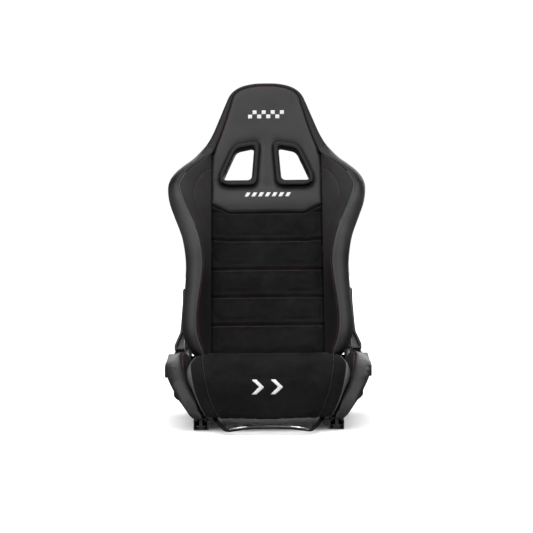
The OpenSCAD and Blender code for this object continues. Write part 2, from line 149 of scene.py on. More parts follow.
def rounded(corners, radius, steps=6):
    """Closed outline with each corner turned into a short curve."""
    p = np.asarray(corners, float)
    out = []
    for i in range(len(p)):
        a, b, c = p[i - 1], p[i], p[(i + 1) % len(p)]
        start = b + (a - b) / np.linalg.norm(a - b) * radius
        end = b + (c - b) / np.linalg.norm(c - b) * radius
        for t in np.linspace(0, 1, steps):
            out.append(start * (1 - t)**2 + b * 2 * t * (1 - t) + end * t**2)
    return np.array(out)


def both_sides(half):
    """Closed outline from its right half, listed from bottom to top."""
    half = np.asarray(half, float)
    mirrored = half[::-1][half[::-1][:, 0] > 1e-6] * [-1, 1]
    return np.vstack([half, mirrored])


def distance_to(points, line, closed=False):
    """Distance from each 2D point to a polyline, and the nearest point on it."""
    a = np.asarray(line, float)
    b = np.roll(a, -1, axis=0) if closed else a[1:]
    a = a if closed else a[:-1]
    best = np.full(len(points), 1e9)
    nearest = np.zeros((len(points), 2))
    for p, q in zip(a, b):
        d = q - p
        t = np.clip(((points - p) @ d) / max(d @ d, 1e-9), 0, 1)
        on = p + t[:, None] * d
        far = np.linalg.norm(points - on, axis=1)
        closer = far < best
        best[closer] = far[closer]
        nearest[closer] = on[closer]
    return best, nearest


def inside(points, outline):
    """Which 2D points lie inside a closed outline."""
    a = np.asarray(outline, float)
    b = np.roll(a, -1, axis=0)
    crossings = np.zeros(len(points), int)
    for p, q in zip(a, b):
        spans = (p[1] > points[:, 1]) != (q[1] > points[:, 1])
        with np.errstate(divide="ignore", invalid="ignore"):
            x = (q[0] - p[0]) * (points[:, 1] - p[1]) / (q[1] - p[1]) + p[0]
        crossings += spans & (points[:, 0] < x)
    return crossings % 2 == 1


def add_piece(name, verts, faces, material, body, replaces=()):
    """A mesh piece from millimetre points, which rides on a CAD body."""
    mesh = bpy.data.meshes.new(name)
    points = [tuple(v) for v in np.asarray(verts, float) * MM]
    mesh.from_pydata(points, [], [tuple(map(int, face)) for face in faces])
    mesh.validate()
    mesh.update()
    mesh.polygons.foreach_set("use_smooth", [True] * len(mesh.polygons))
    piece = bpy.data.objects.new(name, mesh)
    bpy.context.scene.collection.objects.link(piece)
    for m in material if isinstance(material, list) else [material]:
        mesh.materials.append(m)
    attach(piece, body)
    if replaces:
        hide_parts(*replaces)
    return piece


def fix_normals(piece):
    """Turns every face of a closed piece outwards."""
    bm = bmesh.new()
    bm.from_mesh(piece.data)
    bmesh.ops.recalc_face_normals(bm, faces=bm.faces)
    bm.to_mesh(piece.data)
    bm.free()


def flat_panel(outline, holes, step):
    """Square grid over an outline with holes, its edge points pulled onto the outlines.

    Returns the 2D points, the quads, and each point's distance to the nearest edge."""
    outline = np.asarray(outline, float)
    low, high = outline.min(0) - step, outline.max(0) + step
    nx, ny = (np.ceil((high - low) / step).astype(int)) + 1
    gx, gy = np.meshgrid(low[0] + np.arange(nx) * step, low[1] + np.arange(ny) * step, indexing="ij")
    points = np.stack([gx.ravel(), gy.ravel()], -1)
    best, nearest = distance_to(points, outline, closed=True)
    within = inside(points, outline)
    for hole in holes:
        d, n = distance_to(points, hole, closed=True)
        closer = d < best
        best[closer], nearest[closer] = d[closer], n[closer]
        within &= ~inside(points, hole)
    signed = np.where(within, best, -best)
    keep = signed > -0.5 * step
    snap = keep & (signed < 0.5 * step)
    points[snap] = nearest[snap]
    signed[snap] = 0
    i, j = np.meshgrid(np.arange(nx - 1), np.arange(ny - 1), indexing="ij")
    corner = (i * ny + j).ravel()
    quads = np.stack([corner, corner + ny, corner + ny + 1, corner + 1], -1)
    quads = quads[keep[quads].all(1) & ~(snap[quads].all(1))]
    used, flat = np.unique(quads, return_inverse=True)
    return points[used], flat.reshape(-1, 4), np.maximum(signed[used], 0)


def close_panel(front, quads, back):
    """Closed solid from a panel's front points, its quads and its back points."""
    n = len(front)
    edges = {}
    for q in quads:
        for a, b in zip(q, np.roll(q, -1)):
            edges[(int(a), int(b))] = edges.get((int(a), int(b)), 0) + 1
    rim = [e for e in edges if (e[1], e[0]) not in edges]
    faces = [tuple(q) for q in quads] + [tuple(q[::-1] + n) for q in quads]
    faces += [(b, a, a + n, b + n) for a, b in rim]
    return np.vstack([front, back]), faces


def grid_faces(rows, cols, wrap=False, joined=False):
    """Quads of a rows by cols grid of points. wrap closes it along its columns, and joined along its rows."""
    faces = []
    for i in range(rows if joined else rows - 1):
        below, above = i * cols, (i + 1) % rows * cols
        for j in range(cols if wrap else cols - 1):
            k = (j + 1) % cols
            faces.append((below + j, below + k, above + k, above + j))
    return faces


def loft_faces(rows, cols):
    """Quads between closed rings of points, and a cap at each end."""
    caps = [tuple(range(cols))[::-1], tuple(range((rows - 1) * cols, rows * cols))]
    return grid_faces(rows, cols, wrap=True) + caps


def face_along(points, faces, direction):
    """The faces, turned over if most of them look away from direction."""
    p = np.asarray(points, float)
    f = np.array([q[:3] for q in faces])
    normals = np.cross(p[f[:, 1]] - p[f[:, 0]], p[f[:, 2]] - p[f[:, 0]])
    if (normals @ np.asarray(direction, float)).sum() < 0:
        return [tuple(q)[::-1] for q in faces]
    return faces


def add_cover(name, p, material, toward, thickness, replaces=()):
    """Padded sheet on the backrest from a grid of (x, v, w) points, its outside facing toward."""
    verts = place_on_back(p).reshape(-1, 3)
    faces = face_along(verts, grid_faces(*p.shape[:2]), toward)
    piece = add_piece(name, verts, faces, material, "backrest", replaces)
    padding = piece.modifiers.new("thickness", "SOLIDIFY")
    padding.thickness = thickness * MM
    padding.offset = -1
    padding.use_even_offset = False


def add_pad(name, points, quads, top, base, material, body, replaces):
    """Closed pad between two depths at (x, v) points of the backrest, or heights at (x, y) of the base."""
    layers = [np.column_stack([points, np.broadcast_to(level, len(points))]) for level in (top, base)]
    verts, faces = close_panel(layers[0], quads, layers[1])
    if body == "backrest":
        verts = place_on_back(verts)
    piece = add_piece(name, verts, faces, material, body, replaces)
    fix_normals(piece)
    return piece


def add_loft(name, p, covers, second, replaces):
    """Closed pad on the base from rings of points. second marks the faces that the second cover takes."""
    piece = add_piece(name, p.reshape(-1, 3), loft_faces(*p.shape[:2]), covers, "seat_base", replaces)
    piece.data.polygons.foreach_set("material_index", second.astype(int))
    fix_normals(piece)
    return piece


def inflate(piece, held, most, looseness=0.02):
    """Cloth simulation of a pad's cover, blown out over its foam and held at its seams.

    held is True at the points that don't move, as are the points after its end, which are the pad's back.
    No point moves further than most, in millimetres. Looseness is how much larger the cover is cut."""
    scene, mesh = bpy.context.scene, piece.data
    held = np.r_[held, np.full(len(mesh.vertices) - len(held), True)]
    before = np.empty(len(mesh.vertices) * 3)
    mesh.vertices.foreach_get("co", before)
    before = before.reshape(-1, 3)
    group = piece.vertex_groups.new(name="held")
    group.add([int(k) for k in np.flatnonzero(held)], 1.0, "REPLACE")
    cloth = piece.modifiers.new("cloth", "CLOTH")
    fabric = cloth.settings
    fabric.quality = 3
    fabric.mass = 0.3
    fabric.tension_stiffness = fabric.compression_stiffness = 20
    fabric.shear_stiffness = 10
    fabric.bending_stiffness = 0.6
    fabric.use_pressure = True
    fabric.uniform_pressure_force = SWELL_PRESSURE
    fabric.shrink_min = -looseness
    fabric.effector_weights.gravity = 0
    fabric.vertex_group_mass = group.name
    cloth.collision_settings.use_collision = False
    cloth.collision_settings.use_self_collision = False
    cloth.point_cache.frame_start, cloth.point_cache.frame_end = 1, SWELL_FRAMES
    for step in range(1, SWELL_FRAMES + 1):
        scene.frame_set(step)
    blown = piece.evaluated_get(bpy.context.evaluated_depsgraph_get()).data
    after = np.empty(len(before) * 3)
    blown.vertices.foreach_get("co", after)
    piece.modifiers.remove(cloth)
    piece.vertex_groups.remove(group)
    scene.frame_set(1)
    moved = after.reshape(-1, 3) - before
    distance = np.linalg.norm(moved, axis=1, keepdims=True)
    limit = most * MM
    moved *= limit * np.tanh(distance / limit) / np.maximum(distance, 1e-9)
    moved[held] = 0
    mesh.vertices.foreach_set("co", (before + moved).ravel())
    mesh.update()


def skin_of(piece):
    """Search tree of a piece's surface, for what is sewn onto it."""
    points = [v.co for v in piece.data.vertices]
    return BVHTree.FromPolygons(points, [p.vertices[:] for p in piece.data.polygons])


def onto(skin, points, direction, lift):
    """Points moved along a direction until they stand by lift off the surface, in millimetres."""
    way = Vector(direction).normalized()
    landed = []
    for point, height in zip(np.asarray(points, float), np.broadcast_to(lift, len(points))):
        start = Vector(point) * MM - way * 0.05
        hit = skin.ray_cast(start, way)[0]
        landed.append((hit if hit is not None else Vector(point) * MM) / MM - way * float(height))
    return np.array(landed)


def crease(distance, depth, width):
    """How far a surface sinks at a distance from a sewn seam."""
    return depth * np.exp(-(np.asarray(distance) / width)**2)


def tube(name, path, radius, material, body, sides=8):
    """Round tube swept along millimetre points, with closed ends."""
    p = np.asarray(path, float)
    tangent = np.vstack([p[1:], p[-1:]]) - np.vstack([p[:1], p[:-1]])
    tangent /= np.linalg.norm(tangent, axis=1)[:, None]
    side = np.cross(tangent[0], [0.3, 0.2, 1.0])
    verts = []
    for point, along in zip(p, tangent):
        side = side - along * (side @ along)
        side /= np.linalg.norm(side)
        up = np.cross(along, side)
        for a in np.linspace(0, 2 * math.pi, sides, endpoint=False):
            verts.append(point + radius * (side * math.cos(a) + up * math.sin(a)))
    add_piece(name, verts, loft_faces(len(p), sides), material, body)


STITCH_LENGTH = 4.2
STITCH_GAP = 1.5
STITCH_RADIUS = 0.55


def stitch_row(name, path, normals, material, body):
    """A row of thread stitches along millimetre points, half sunk in the surface with the given normals
    or normal."""
    p = np.asarray(path, float)
    n = np.broadcast_to(np.asarray(normals, float), p.shape)
    n = n / np.linalg.norm(n, axis=1)[:, None]
    s = np.r_[0, np.cumsum(np.linalg.norm(np.diff(p, axis=0), axis=1))]
    count = max(1, int(s[-1] / (STITCH_LENGTH + STITCH_GAP)))
    starts = np.linspace(0, s[-1], count, endpoint=False)
    verts, faces = [], []
    for start in starts:
        t = np.minimum(start + np.array([0, 0.3, 0.7, 1]) * STITCH_LENGTH, s[-1])
        ring_p, ring_n = (np.stack([np.interp(t, s, line[:, k]) for k in range(3)], -1) for line in (p, n))
        along = ring_p[-1] - ring_p[0]
        if np.linalg.norm(along) < 1:
            continue
        along /= np.linalg.norm(along)
        base = len(verts)
        for q, m, lift, r in zip(ring_p, ring_n, (-0.35, 0.3, 0.3, -0.35), (0.45, 1, 1, 0.45)):
            side = np.cross(along, m)
            side /= np.linalg.norm(side)
            for a in np.linspace(0, 2 * math.pi, 6, endpoint=False):
                offset = side * math.cos(a) + m * math.sin(a)
                verts.append(q + m * lift + offset * STITCH_RADIUS * r)
        faces += [tuple(base + i for i in f) for f in loft_faces(4, 6)]
    add_piece(name, verts, faces, material, body)


# ---------- materials ----------

def add_node(tree, kind, values={}, feeds={}):
    """A new shader node, its inputs set to values or linked from feeds, both by socket."""
    node = tree.nodes.new("ShaderNode" + kind)
    for socket, value in values.items():
        node.inputs[socket].default_value = value
    feed(tree, node, feeds)
    return node


def feed(tree, node, feeds):
    """Links some of a node's inputs from the outputs of other nodes."""
    for socket, source in feeds.items():
        tree.links.new(source, node.inputs[socket])


def new_material(name, color, roughness, specular=0.5, **more):
    """A material, its node tree, its shader and its object coordinates. Further inputs are named with
    underscores for their spaces."""
    m = bpy.data.materials.new(name)
    m.use_nodes = True
    tree = m.node_tree
    shader = tree.nodes["Principled BSDF"]
    values = {"Base_Color": (*color, 1), "Roughness": roughness, "Specular_IOR_Level": specular, **more}
    for socket, value in values.items():
        shader.inputs[socket.replace("_", " ")].default_value = value
    return m, tree, shader, add_node(tree, "TexCoord").outputs["Object"]


def noise(tree, coords, scale, detail=4, rough=0.6):
    values = {"Scale": scale, "Detail": detail, "Roughness": rough}
    return add_node(tree, "TexNoise", values, {"Vector": coords}).outputs["Fac"]


def ramp(tree, value, low, high, start=0.35, end=0.65):
    """Colour that goes from low to high as the value rises from start to end."""
    node = add_node(tree, "ValToRGB", {}, {"Fac": value})
    for stop, position, color in zip(node.color_ramp.elements, (start, end), (low, high)):
        stop.position, stop.color = position, (*color, 1)
    return node.outputs["Color"]


def spread(tree, value, low, high, start=0.3, end=0.7):
    """Number that goes from low to high as the value rises from start to end."""
    values = {"From Min": start, "From Max": end, "To Min": low, "To Max": high}
    return add_node(tree, "MapRange", values, {"Value": value}).outputs["Result"]


def bump(tree, shader, heights, distance, strength):
    """Bump from several heights added together."""
    total = heights[0]
    for height in heights[1:]:
        total = add_node(tree, "Math", {}, {0: total, 1: height}).outputs["Value"]
    node = add_node(tree, "Bump", {"Distance": distance, "Strength": strength}, {"Height": total})
    feed(tree, shader, {"Normal": node.outputs["Normal"]})


def painted_shade_by_height(tree, coords, color, spans):
    """Painted shade: darkens a colour between two heights on the piece, in metres, for each (low, high, factor).
    """
    for low, high, factor in spans:
        height = add_node(tree, "SeparateXYZ", {}, {"Vector": coords}).outputs["Z"]
        mix = add_node(tree, "MixRGB", {"Color2": (factor, factor, factor, 1)},
                       {"Fac": spread(tree, height, 0, 1, low, high), "Color1": color})
        mix.blend_type = "MULTIPLY"
        color = mix.outputs["Color"]
    return color


def leather_material(name, dark, light, roughness=0.42, specular=0.32, shade=()):
    """PU leather: pebbled grain, soft creases, and slightly uneven gloss. The shade spans paint shade into its
    colour by height.
    """
    m, tree, shader, coords = new_material(name, light, roughness, specular)
    broad, fine, soft = (noise(tree, coords, *scale) for scale in ((9, 3), (900, 3), (45, 2)))
    feed(tree, shader, {"Base Color": painted_shade_by_height(tree, coords, ramp(tree, broad, dark, light), shade),
                        "Roughness": spread(tree, broad, roughness - 0.05, roughness + 0.07)})
    pebbles = add_node(tree, "TexVoronoi", {"Scale": 620}, {"Vector": coords})
    pebbles.feature = "DISTANCE_TO_EDGE"
    grain = spread(tree, pebbles.outputs["Distance"], 0, 1, 0.0, 0.25)
    creases = spread(tree, soft, 0, 1.2, 0.2, 0.8)
    bump(tree, shader, [grain, spread(tree, fine, 0, 0.5), creases], 0.00022, 0.5)
    return m


def suede_material(name, dark, light, sheen, shade=()):
    """Microfibre suede: no gloss, a brushed nap, and a faint sheen at the edges. The shade spans paint shade into
    its colour by height.
    """
    m, tree, shader, coords = new_material(name, light, 0.95, 0.06, Sheen_Weight=sheen, Sheen_Roughness=0.5,
                                           Sheen_Tint=(0.35, 0.35, 0.37, 1))
    broad, nap, mottle = (noise(tree, coords, *scale) for scale in ((14, 5, 0.7), (1400, 4, 0.7), (160, 3)))
    color = ramp(tree, broad, dark, light, 0.3, 0.7)
    feed(tree, shader, {"Base Color": painted_shade_by_height(tree, coords, color, shade)})
    bump(tree, shader, [nap, spread(tree, mottle, 0, 0.8)], 0.00035, 0.6)
    return m


def plastic_material(name, color, roughness=0.5, texture=420, depth=0.00012, specular=0.5):
    """Moulded plastic with a fine spark-eroded texture."""
    m, tree, shader, coords = new_material(name, color, roughness, specular)
    patches = noise(tree, coords, 22, 3)
    feed(tree, shader, {"Roughness": spread(tree, patches, roughness - 0.06, roughness + 0.06),
                        "Base Color": ramp(tree, patches, color, tuple(c * 1.25 for c in color))})
    bump(tree, shader, [noise(tree, coords, texture, 3)], depth, 0.6)
    return m


def paint_material(name, color, roughness=0.35, orange_peel=0.00006, coat=0.3):
    """Powder coat on steel, with a slight orange peel and dust in places."""
    m, tree, shader, coords = new_material(name, color, roughness, Coat_Weight=coat, Coat_Roughness=0.2)
    dust, dusty = noise(tree, coords, 35, 4), tuple(c * 1.5 + 0.002 for c in color)
    feed(tree, shader, {"Base Color": ramp(tree, dust, color, dusty, 0.5, 0.8),
                        "Roughness": spread(tree, dust, roughness, roughness + 0.15)})
    bump(tree, shader, [noise(tree, coords, 260, 2)], orange_peel, 0.6)
    return m


def steel_material(name, color, roughness=0.35):
    """Plated steel with fine drawn marks and small stains."""
    m, tree, shader, coords = new_material(name, color, roughness, Metallic=1.0)
    stretched = add_node(tree, "Mapping", {"Scale": (1, 9, 9)}, {"Vector": coords}).outputs["Vector"]
    marks, stains = noise(tree, stretched, 120, 4), noise(tree, coords, 40, 3)
    feed(tree, shader, {"Base Color": ramp(tree, stains, tuple(c * 0.8 for c in color), color),
                        "Roughness": spread(tree, marks, roughness - 0.08, roughness + 0.12)})
    bump(tree, shader, [marks], 0.00004, 0.5)
    return m


def thread_material(name, color):
    """Twisted polyester thread."""
    m, tree, shader, coords = new_material(name, color, 0.7, 0.3, Sheen_Weight=0.2)
    twist = noise(tree, coords, 1800, 2)
    feed(tree, shader, {"Base Color": ramp(tree, twist, tuple(c * 0.6 for c in color), color)})
    bump(tree, shader, [twist], 0.0002, 0.7)
    return m


def webbing_material(name, color):
    """Woven elastic webbing: a weave of fine ribs across and along."""
    m, tree, shader, coords = new_material(name, color, 0.85, 0.2)
    heights = []
    for direction in ("X", "Z"):
        wave = add_node(tree, "TexWave", {"Scale": 160}, {"Vector": coords})
        wave.bands_direction = direction
        heights.append(wave.outputs["Fac"])
    # the weave's valleys are darker: painted shade in the recesses between the ribs
    painted_valley_shade = tuple(c * 0.6 for c in color)
    feed(tree, shader, {"Base Color": ramp(tree, heights[0], painted_valley_shade, color, 0.2, 0.8)})
    bump(tree, shader, heights, 0.0003, 0.7)
    return m


def make_materials():
    # painted shade by height on the bolster's border: darker over the shoulder's top, which faces up and back,
    # lower down at the waist, and at the bottom where the cover turns under
    shoulder_shade = [(0.60, 0.64, 0.12), (0.51, 0.43, 0.4), (0.26, 0.17, 0.3)]
    return {
        "leather": leather_material("pu_leather", (0.013, 0.013, 0.014), (0.020, 0.020, 0.021)),
        # darker copy of the leather: painted shade for the border over the head, which faces up and back
        "leather_painted_shade": leather_material(
            "pu_leather_painted_shade", (0.004, 0.0045, 0.004), (0.007, 0.0075, 0.007), 0.6),
        "gusset_leather": leather_material(
            "pu_leather_gloss", (0.045, 0.045, 0.047), (0.06, 0.06, 0.062), 0.32),
        # lighter copy of the leather: painted light on the bolster's outer band, with the painted shade by height
        # above
        "shoulder_leather_painted_light_and_shade": leather_material(
            "pu_leather_shoulder_painted_light_and_shade", (0.034, 0.034, 0.035), (0.050, 0.050, 0.052), 0.38, 0.3, shoulder_shade),
        # pale cord: partly real piping, partly a painted highlight where the ridge seam catches light
        "piping_highlight": leather_material("piping_highlight", (0.055, 0.055, 0.057), (0.075, 0.075, 0.077), 0.4),
        "suede": suede_material("black_suede", (0.005, 0.005, 0.0055), (0.0105, 0.0105, 0.011), 0.05),
        # painted shade by height: the wing's suede darkens lower down, as it turns inward away from the light
        "wing_suede": suede_material(
            "wing_suede", (0.026, 0.026, 0.026), (0.034, 0.034, 0.034), 0.06, [(0.62, 0.36, 0.22)]),
        "bezel": plastic_material("bezel_plastic", (0.007, 0.007, 0.0075), specular=0.22),
        "plastic": plastic_material("trim_plastic", (0.018, 0.018, 0.019)),
        "lever": plastic_material("lever_plastic", (0.02, 0.02, 0.021), 0.45, 500),
        "glide": plastic_material("glide_polymer", (0.55, 0.55, 0.52), 0.55),
        "rubber": plastic_material("bumper_rubber", (0.012, 0.012, 0.012), 0.85, 300, 0.0003),
        "gusset": paint_material("gusset_grey", (0.10, 0.10, 0.104), 0.5),
        "rail": paint_material("rail_black", (0.006, 0.006, 0.0065), 0.42),
        "frame": paint_material("frame_black", (0.005, 0.005, 0.0055), 0.6, coat=0.0),
        "bar": paint_material("bar_gloss", (0.004, 0.004, 0.0045), 0.08, 0.00001, coat=0.0),
        "steel": steel_material("zinc_steel", (0.42, 0.42, 0.43)),
        "dark_steel": steel_material("latch_steel", (0.16, 0.16, 0.165), 0.42),
        "webbing": webbing_material("elastic_webbing", (0.02, 0.02, 0.021)),
        "red_thread": thread_material("red_thread", (0.145, 0.021, 0.028)),
        "dull_thread": thread_material("red_thread_dull", (0.075, 0.018, 0.022)),
        "white_thread": thread_material("white_embroidery", (0.80, 0.80, 0.82)),
    }


# ---------- backrest outline ----------

# Each row is one cut across the border of the backrest, from the bottom up to the middle of the head:
# the ridge seam (x, v, w), the widest point (x, v, w) and the joint with the rear shell (x, v).
BORDER = [
    (173, -8, 80, 194, -8, 50, 184, -8),
    (176, 8, 84, 211, 8, 48, 189, 8),
    (184, 30, 88, 223, 30, 47, 203, 30),
    (190, 56, 92, 233, 60, 46, 219, 58),
    (192, 97, 95, 235, 97, 46, 221, 97),
    (187, 149, 97, 231, 149, 50, 221, 149),
    (179, 205, 99, 227, 205, 54, 222, 205),
    (176, 262, 102, 226, 262, 58, 221.5, 262),
    (189, 330, 108, 236, 328, 60, 232, 328),
    (214, 388, 115, 256, 385, 62, 252, 385),
    (231, 430, 119, 271.5, 428, 62, 268, 428),
    (240, 464, 119, 277, 466, 60, 274.5, 468),
    (234, 486, 113, 273, 493, 55, 270.5, 496),
    (222, 509, 104, 258, 518, 49, 256, 522),
    (203, 532, 91, 235.5, 541, 44, 234, 545),
    (178, 556, 74, 209, 565.5, 39, 208, 569.5),
    (153, 580, 57, 184.5, 594, 36, 183.5, 597),
    (144, 604, 50, 168, 616, 34, 167, 619),
    (129, 643, 48, 151.5, 648, 32, 151.5, 650),
    (114, 690, 48, 134, 692, 31, 134, 694),
    (101, 735, 47, 115.5, 739, 31, 115.5, 741),
    (95, 756, 46, 105, 763, 30, 105, 765),
    (84, 770, 45, 90, 780, 29, 90, 782),
    (62, 781, 44, 67.5, 793, 28, 67.5, 795),
    (30, 788, 44, 34, 800.5, 28, 34, 802.5),
    (0, 789, 44, 0, 802, 28, 0, 804),
]
# where the shoulder's cover ends and the head's begins, as a fraction of the rows
SHOULDER_ROW = 16.6 / (len(BORDER) - 1)
BORDER_ROWS = 300
COVER_PADDING = 5


def border_rows():
    return smooth_curve(BORDER, BORDER_ROWS)


def make_border(name, start, end, side, material, replaces):
    """Outer cover of the backrest's edge, from the ridge seam round to the rear shell. It is on one side
    of the backrest, or on both and over the top where side is 0."""
    first, last = round(start * (BORDER_ROWS - 1)), round(end * (BORDER_ROWS - 1))
    rows = border_rows()[first:last + 1]
    ridge, widest = rows[:, None, 0:3], rows[:, None, 3:6]
    joint = np.concatenate([rows[:, None, 6:8], np.full((len(rows), 1, 1), float(SPLIT_W))], -1)
    depth = np.array([0, 0, 1])
    drop = ridge[..., 2:3] - widest[..., 2:3]
    leave = ridge + (widest - ridge) * [0.62, 0.62, 0.0] + drop * [0, 0, 0.04]
    front = bezier(ridge, leave, widest + drop * 0.55 * depth, widest, np.linspace(0, 1, 22)[None, :, None])
    u = np.linspace(0, 1, 10)[None, 1:, None]
    bend = widest + (joint[..., 2:3] - widest[..., 2:3]) * 0.5 * depth
    rear = widest * (1 - u)**2 + bend * 2 * u * (1 - u) + joint * u**2
    p = np.concatenate([front, rear], 1)
    # the cover is drawn down into the ridge seam and into the seam with the shell
    along = np.r_[0, np.cumsum(np.linalg.norm(np.diff(p.mean(0), axis=0), axis=1))]
    p[..., 2] -= crease(along, 3.0, 3.2)[None, :]
    outward = (widest - ridge)[:, 0, :2]
    outward = outward / np.maximum(np.linalg.norm(outward, axis=1), 1e-6)[:, None]
    p[..., :2] -= outward[:, None, :] * crease(along[-1] - along, 2.2, 3.0)[None, :, None]
    if side:
        p = p * [side, 1, 1]
    else:
        p[..., 0] = np.maximum(p[..., 0], 0)
        p = np.concatenate([p * [-1, 1, 1], p[::-1][1:]], 0)
    add_cover(name, p, material, (side, -1.0, 0.2), COVER_PADDING, replaces)


# seam that crosses the inside of each wing, as (x, v)
LEAF = [(156, 537), (175, 521), (190, 496), (201, 465), (203, 445), (200, 428), (190, 403), (176, 369),
        (164, 334), (156, 292)]
WING_TOP = 577
WING_COLS = 34


def wing_depth(rows, f):
    """Points across the inside of the wing, from the ridge seam (f = 0) to the centre panel (f = 1)."""
    s = rows[:, None, 0:3]
    inner_w = np.clip(rows[:, None, 2:3] - 6, 0, 41)
    i = np.concatenate([np.full_like(inner_w, PANEL_HALF), s[..., 1:2], inner_w], -1)
    c1 = s + (i - s) * [0.34, 0.34, 0.12]
    c2 = i + (s - i) * [0.22, 0.22, 0.42]
    return bezier(s, c1, c2, i, f[None, :, None])


def wing_rows():
    rows = border_rows()
    return rows[(rows[:, 1] <= WING_TOP) & (np.arange(len(rows)) < 0.7 * BORDER_ROWS)]


def head_rows():
    rows = border_rows()
    return rows[(rows[:, 1] > WING_TOP) & (np.arange(len(rows)) > 0.6 * BORDER_ROWS)]


def make_wing(name, side, material):
    """Suede inside face of a bolster and shoulder wing."""
    f = np.linspace(0, 1, WING_COLS)
    p = wing_depth(wing_rows(), f)
    from_leaf, _ = distance_to(p.reshape(-1, 3)[:, :2], smooth_curve(LEAF, 80))
    width = np.linalg.norm(p[:, 0] - p[:, -1], axis=1)[:, None]
    from_edge = np.minimum(f[None, :], 1 - f[None, :]) * width
    puff = 3.0 * (1 - np.exp(-from_edge / 14))
    p[..., 2] += puff - crease(from_leaf.reshape(p.shape[:2]), 2.6, 3.0) - crease(from_edge, 2.0, 3.0)
    add_cover(name, p * [side, 1, 1], material, (-side * 0.7, -1.0, 0.2), COVER_PADDING)


def wing_point(x, v):
    """Depth of the wing's surface at x and v, without its puff."""
    p = wing_depth(wing_rows(), np.linspace(0, 1, 60)).reshape(-1, 3)
    return np.array([p[np.argmin((p[:, 0] - a)**2 + (p[:, 1] - b)**2), 2] for a, b in zip(x, v)])


# ---------- centre and head panels ----------

# lower edge of the head panel: its height in the middle and at the sides, and where it starts to rise
CHIN = 407
CHIN_CORNER = 431
CHIN_HALF = 108
PANEL_BOTTOM = -12
CHANNELS = (82, 161.5, 240, 323)
SEAMS_ACROSS = CHANNELS + (CHIN - 2,)
CHANNEL_END_RISE = 5
PANEL_FRONT = 45

# outlines of the right bezel and its opening, as x and the height z where they show from the front
BEZEL_OUTLINE = [(18, 761), (93, 751), (138, 652), (122, 631), (28, 631)]
BEZEL_CORNER = 20
HOLE_OUTLINE = [(34, 744), (86, 733), (125, 647), (42, 647)]
HOLE_CORNER = 13
# how far the head panel reaches under the bezel
BEZEL_LAP = 3.5


def channel_height(seam, x):
    """Height of a sewn channel at x. The top ones turn up at their ends."""
    rise = CHANNEL_END_RISE if seam > 300 else 0
    return seam + rise * np.clip((np.abs(x) - CHIN_HALF) / (PANEL_HALF - CHIN_HALF), 0, 1)


def centre_depth(x, v):
    """Depth of the suede centre panel: gentle crown, with a roll above each sewn channel."""
    x, v = np.asarray(x, float), np.asarray(v, float)
    w = PANEL_FRONT + 2.0 * (1 - (x / PANEL_HALF)**2)
    for seam in SEAMS_ACROSS:
        up = v - channel_height(seam, x)
        w = w + 2.4 * np.exp(-((up - 8) / 5.5)**2) * (up > -2)
        w = w - crease(up, 4.2, 3.4)
    return w


def make_centre_panel(material):
    half = [(0, PANEL_BOTTOM), (150, PANEL_BOTTOM), (PANEL_HALF, PANEL_BOTTOM + 14),
            (PANEL_HALF, CHIN_CORNER), (CHIN_HALF, CHIN), (0, CHIN)]
    points, quads, edge = flat_panel(both_sides(half), [], PANEL_STEP)
    x, v = points[:, 0], points[:, 1]
    w = centre_depth(x, v) - crease(edge, 5.0, 4.5) - 1.5 * np.exp(-edge / 14)
    w -= 12 * np.clip((PANEL_BOTTOM + 26 - v) / 26, 0, 1)**2
    piece = add_pad("centre_panel", points, quads, w, SPLIT_W + 1.0, material, "backrest",
                    ("centre_pad",))
    held = edge < 7
    for seam in CHANNELS:
        held |= np.abs(v - channel_height(seam, x) + 1.7) < 4.5
    inflate(piece, held, 4.0)


def head_outline():
    above = head_rows()
    half = [(0, CHIN), (CHIN_HALF, CHIN), (PANEL_HALF, CHIN_CORNER), (PANEL_HALF, WING_TOP)]
    half += [(max(x, 0), v) for x, v in above[::3, :2]] + [(0, above[-1, 1])]
    return both_sides([half[0]] + [q for p, q in zip(half, half[1:]) if math.dist(p, q) > 0.5])


def bezel_edge(side):
    """The head panel's edge under a bezel, as (x, v)."""
    outline = rounded(BEZEL_OUTLINE, BEZEL_CORNER)
    out = outline - outline.mean(0)
    edge = outline - out / np.linalg.norm(out, axis=1)[:, None] * BEZEL_LAP
    return np.column_stack([edge[:, 0] * side, height_to_v(edge[:, 1], PAD_W)])


def head_depth(x, v):
    """Depth of the leather head panel away from its seams."""
    x, v = np.asarray(x, float), np.asarray(v, float)
    crown = 3.5 * np.clip(1 - (x / 150)**2, 0, 1)
    chin = 3.0 * np.exp(-((v - 436) / 20)**2)
    brow = -3.2 * np.exp(-((v - 486) / 17)**2)
    return PAD_W - 3 + crown + chin + brow


def make_head_panel(material):
    outline, holes = head_outline(), [bezel_edge(side) for side in SIDES.values()]
    points, quads, _ = flat_panel(outline, holes, PANEL_STEP)
    w = head_depth(points[:, 0], points[:, 1])
    for hole in holes:
        w -= 9.5 * np.exp(-(distance_to(points, hole, closed=True)[0] / 12)**1.3)
    rim, _ = distance_to(points, outline, closed=True)
    w -= crease(rim, 3.4, 3.6) + 4.0 * np.exp(-rim / 11)
    return add_pad("head_panel", points, quads, w, SPLIT_W + 1.0, material, "backrest",
                   ("head_pad",))


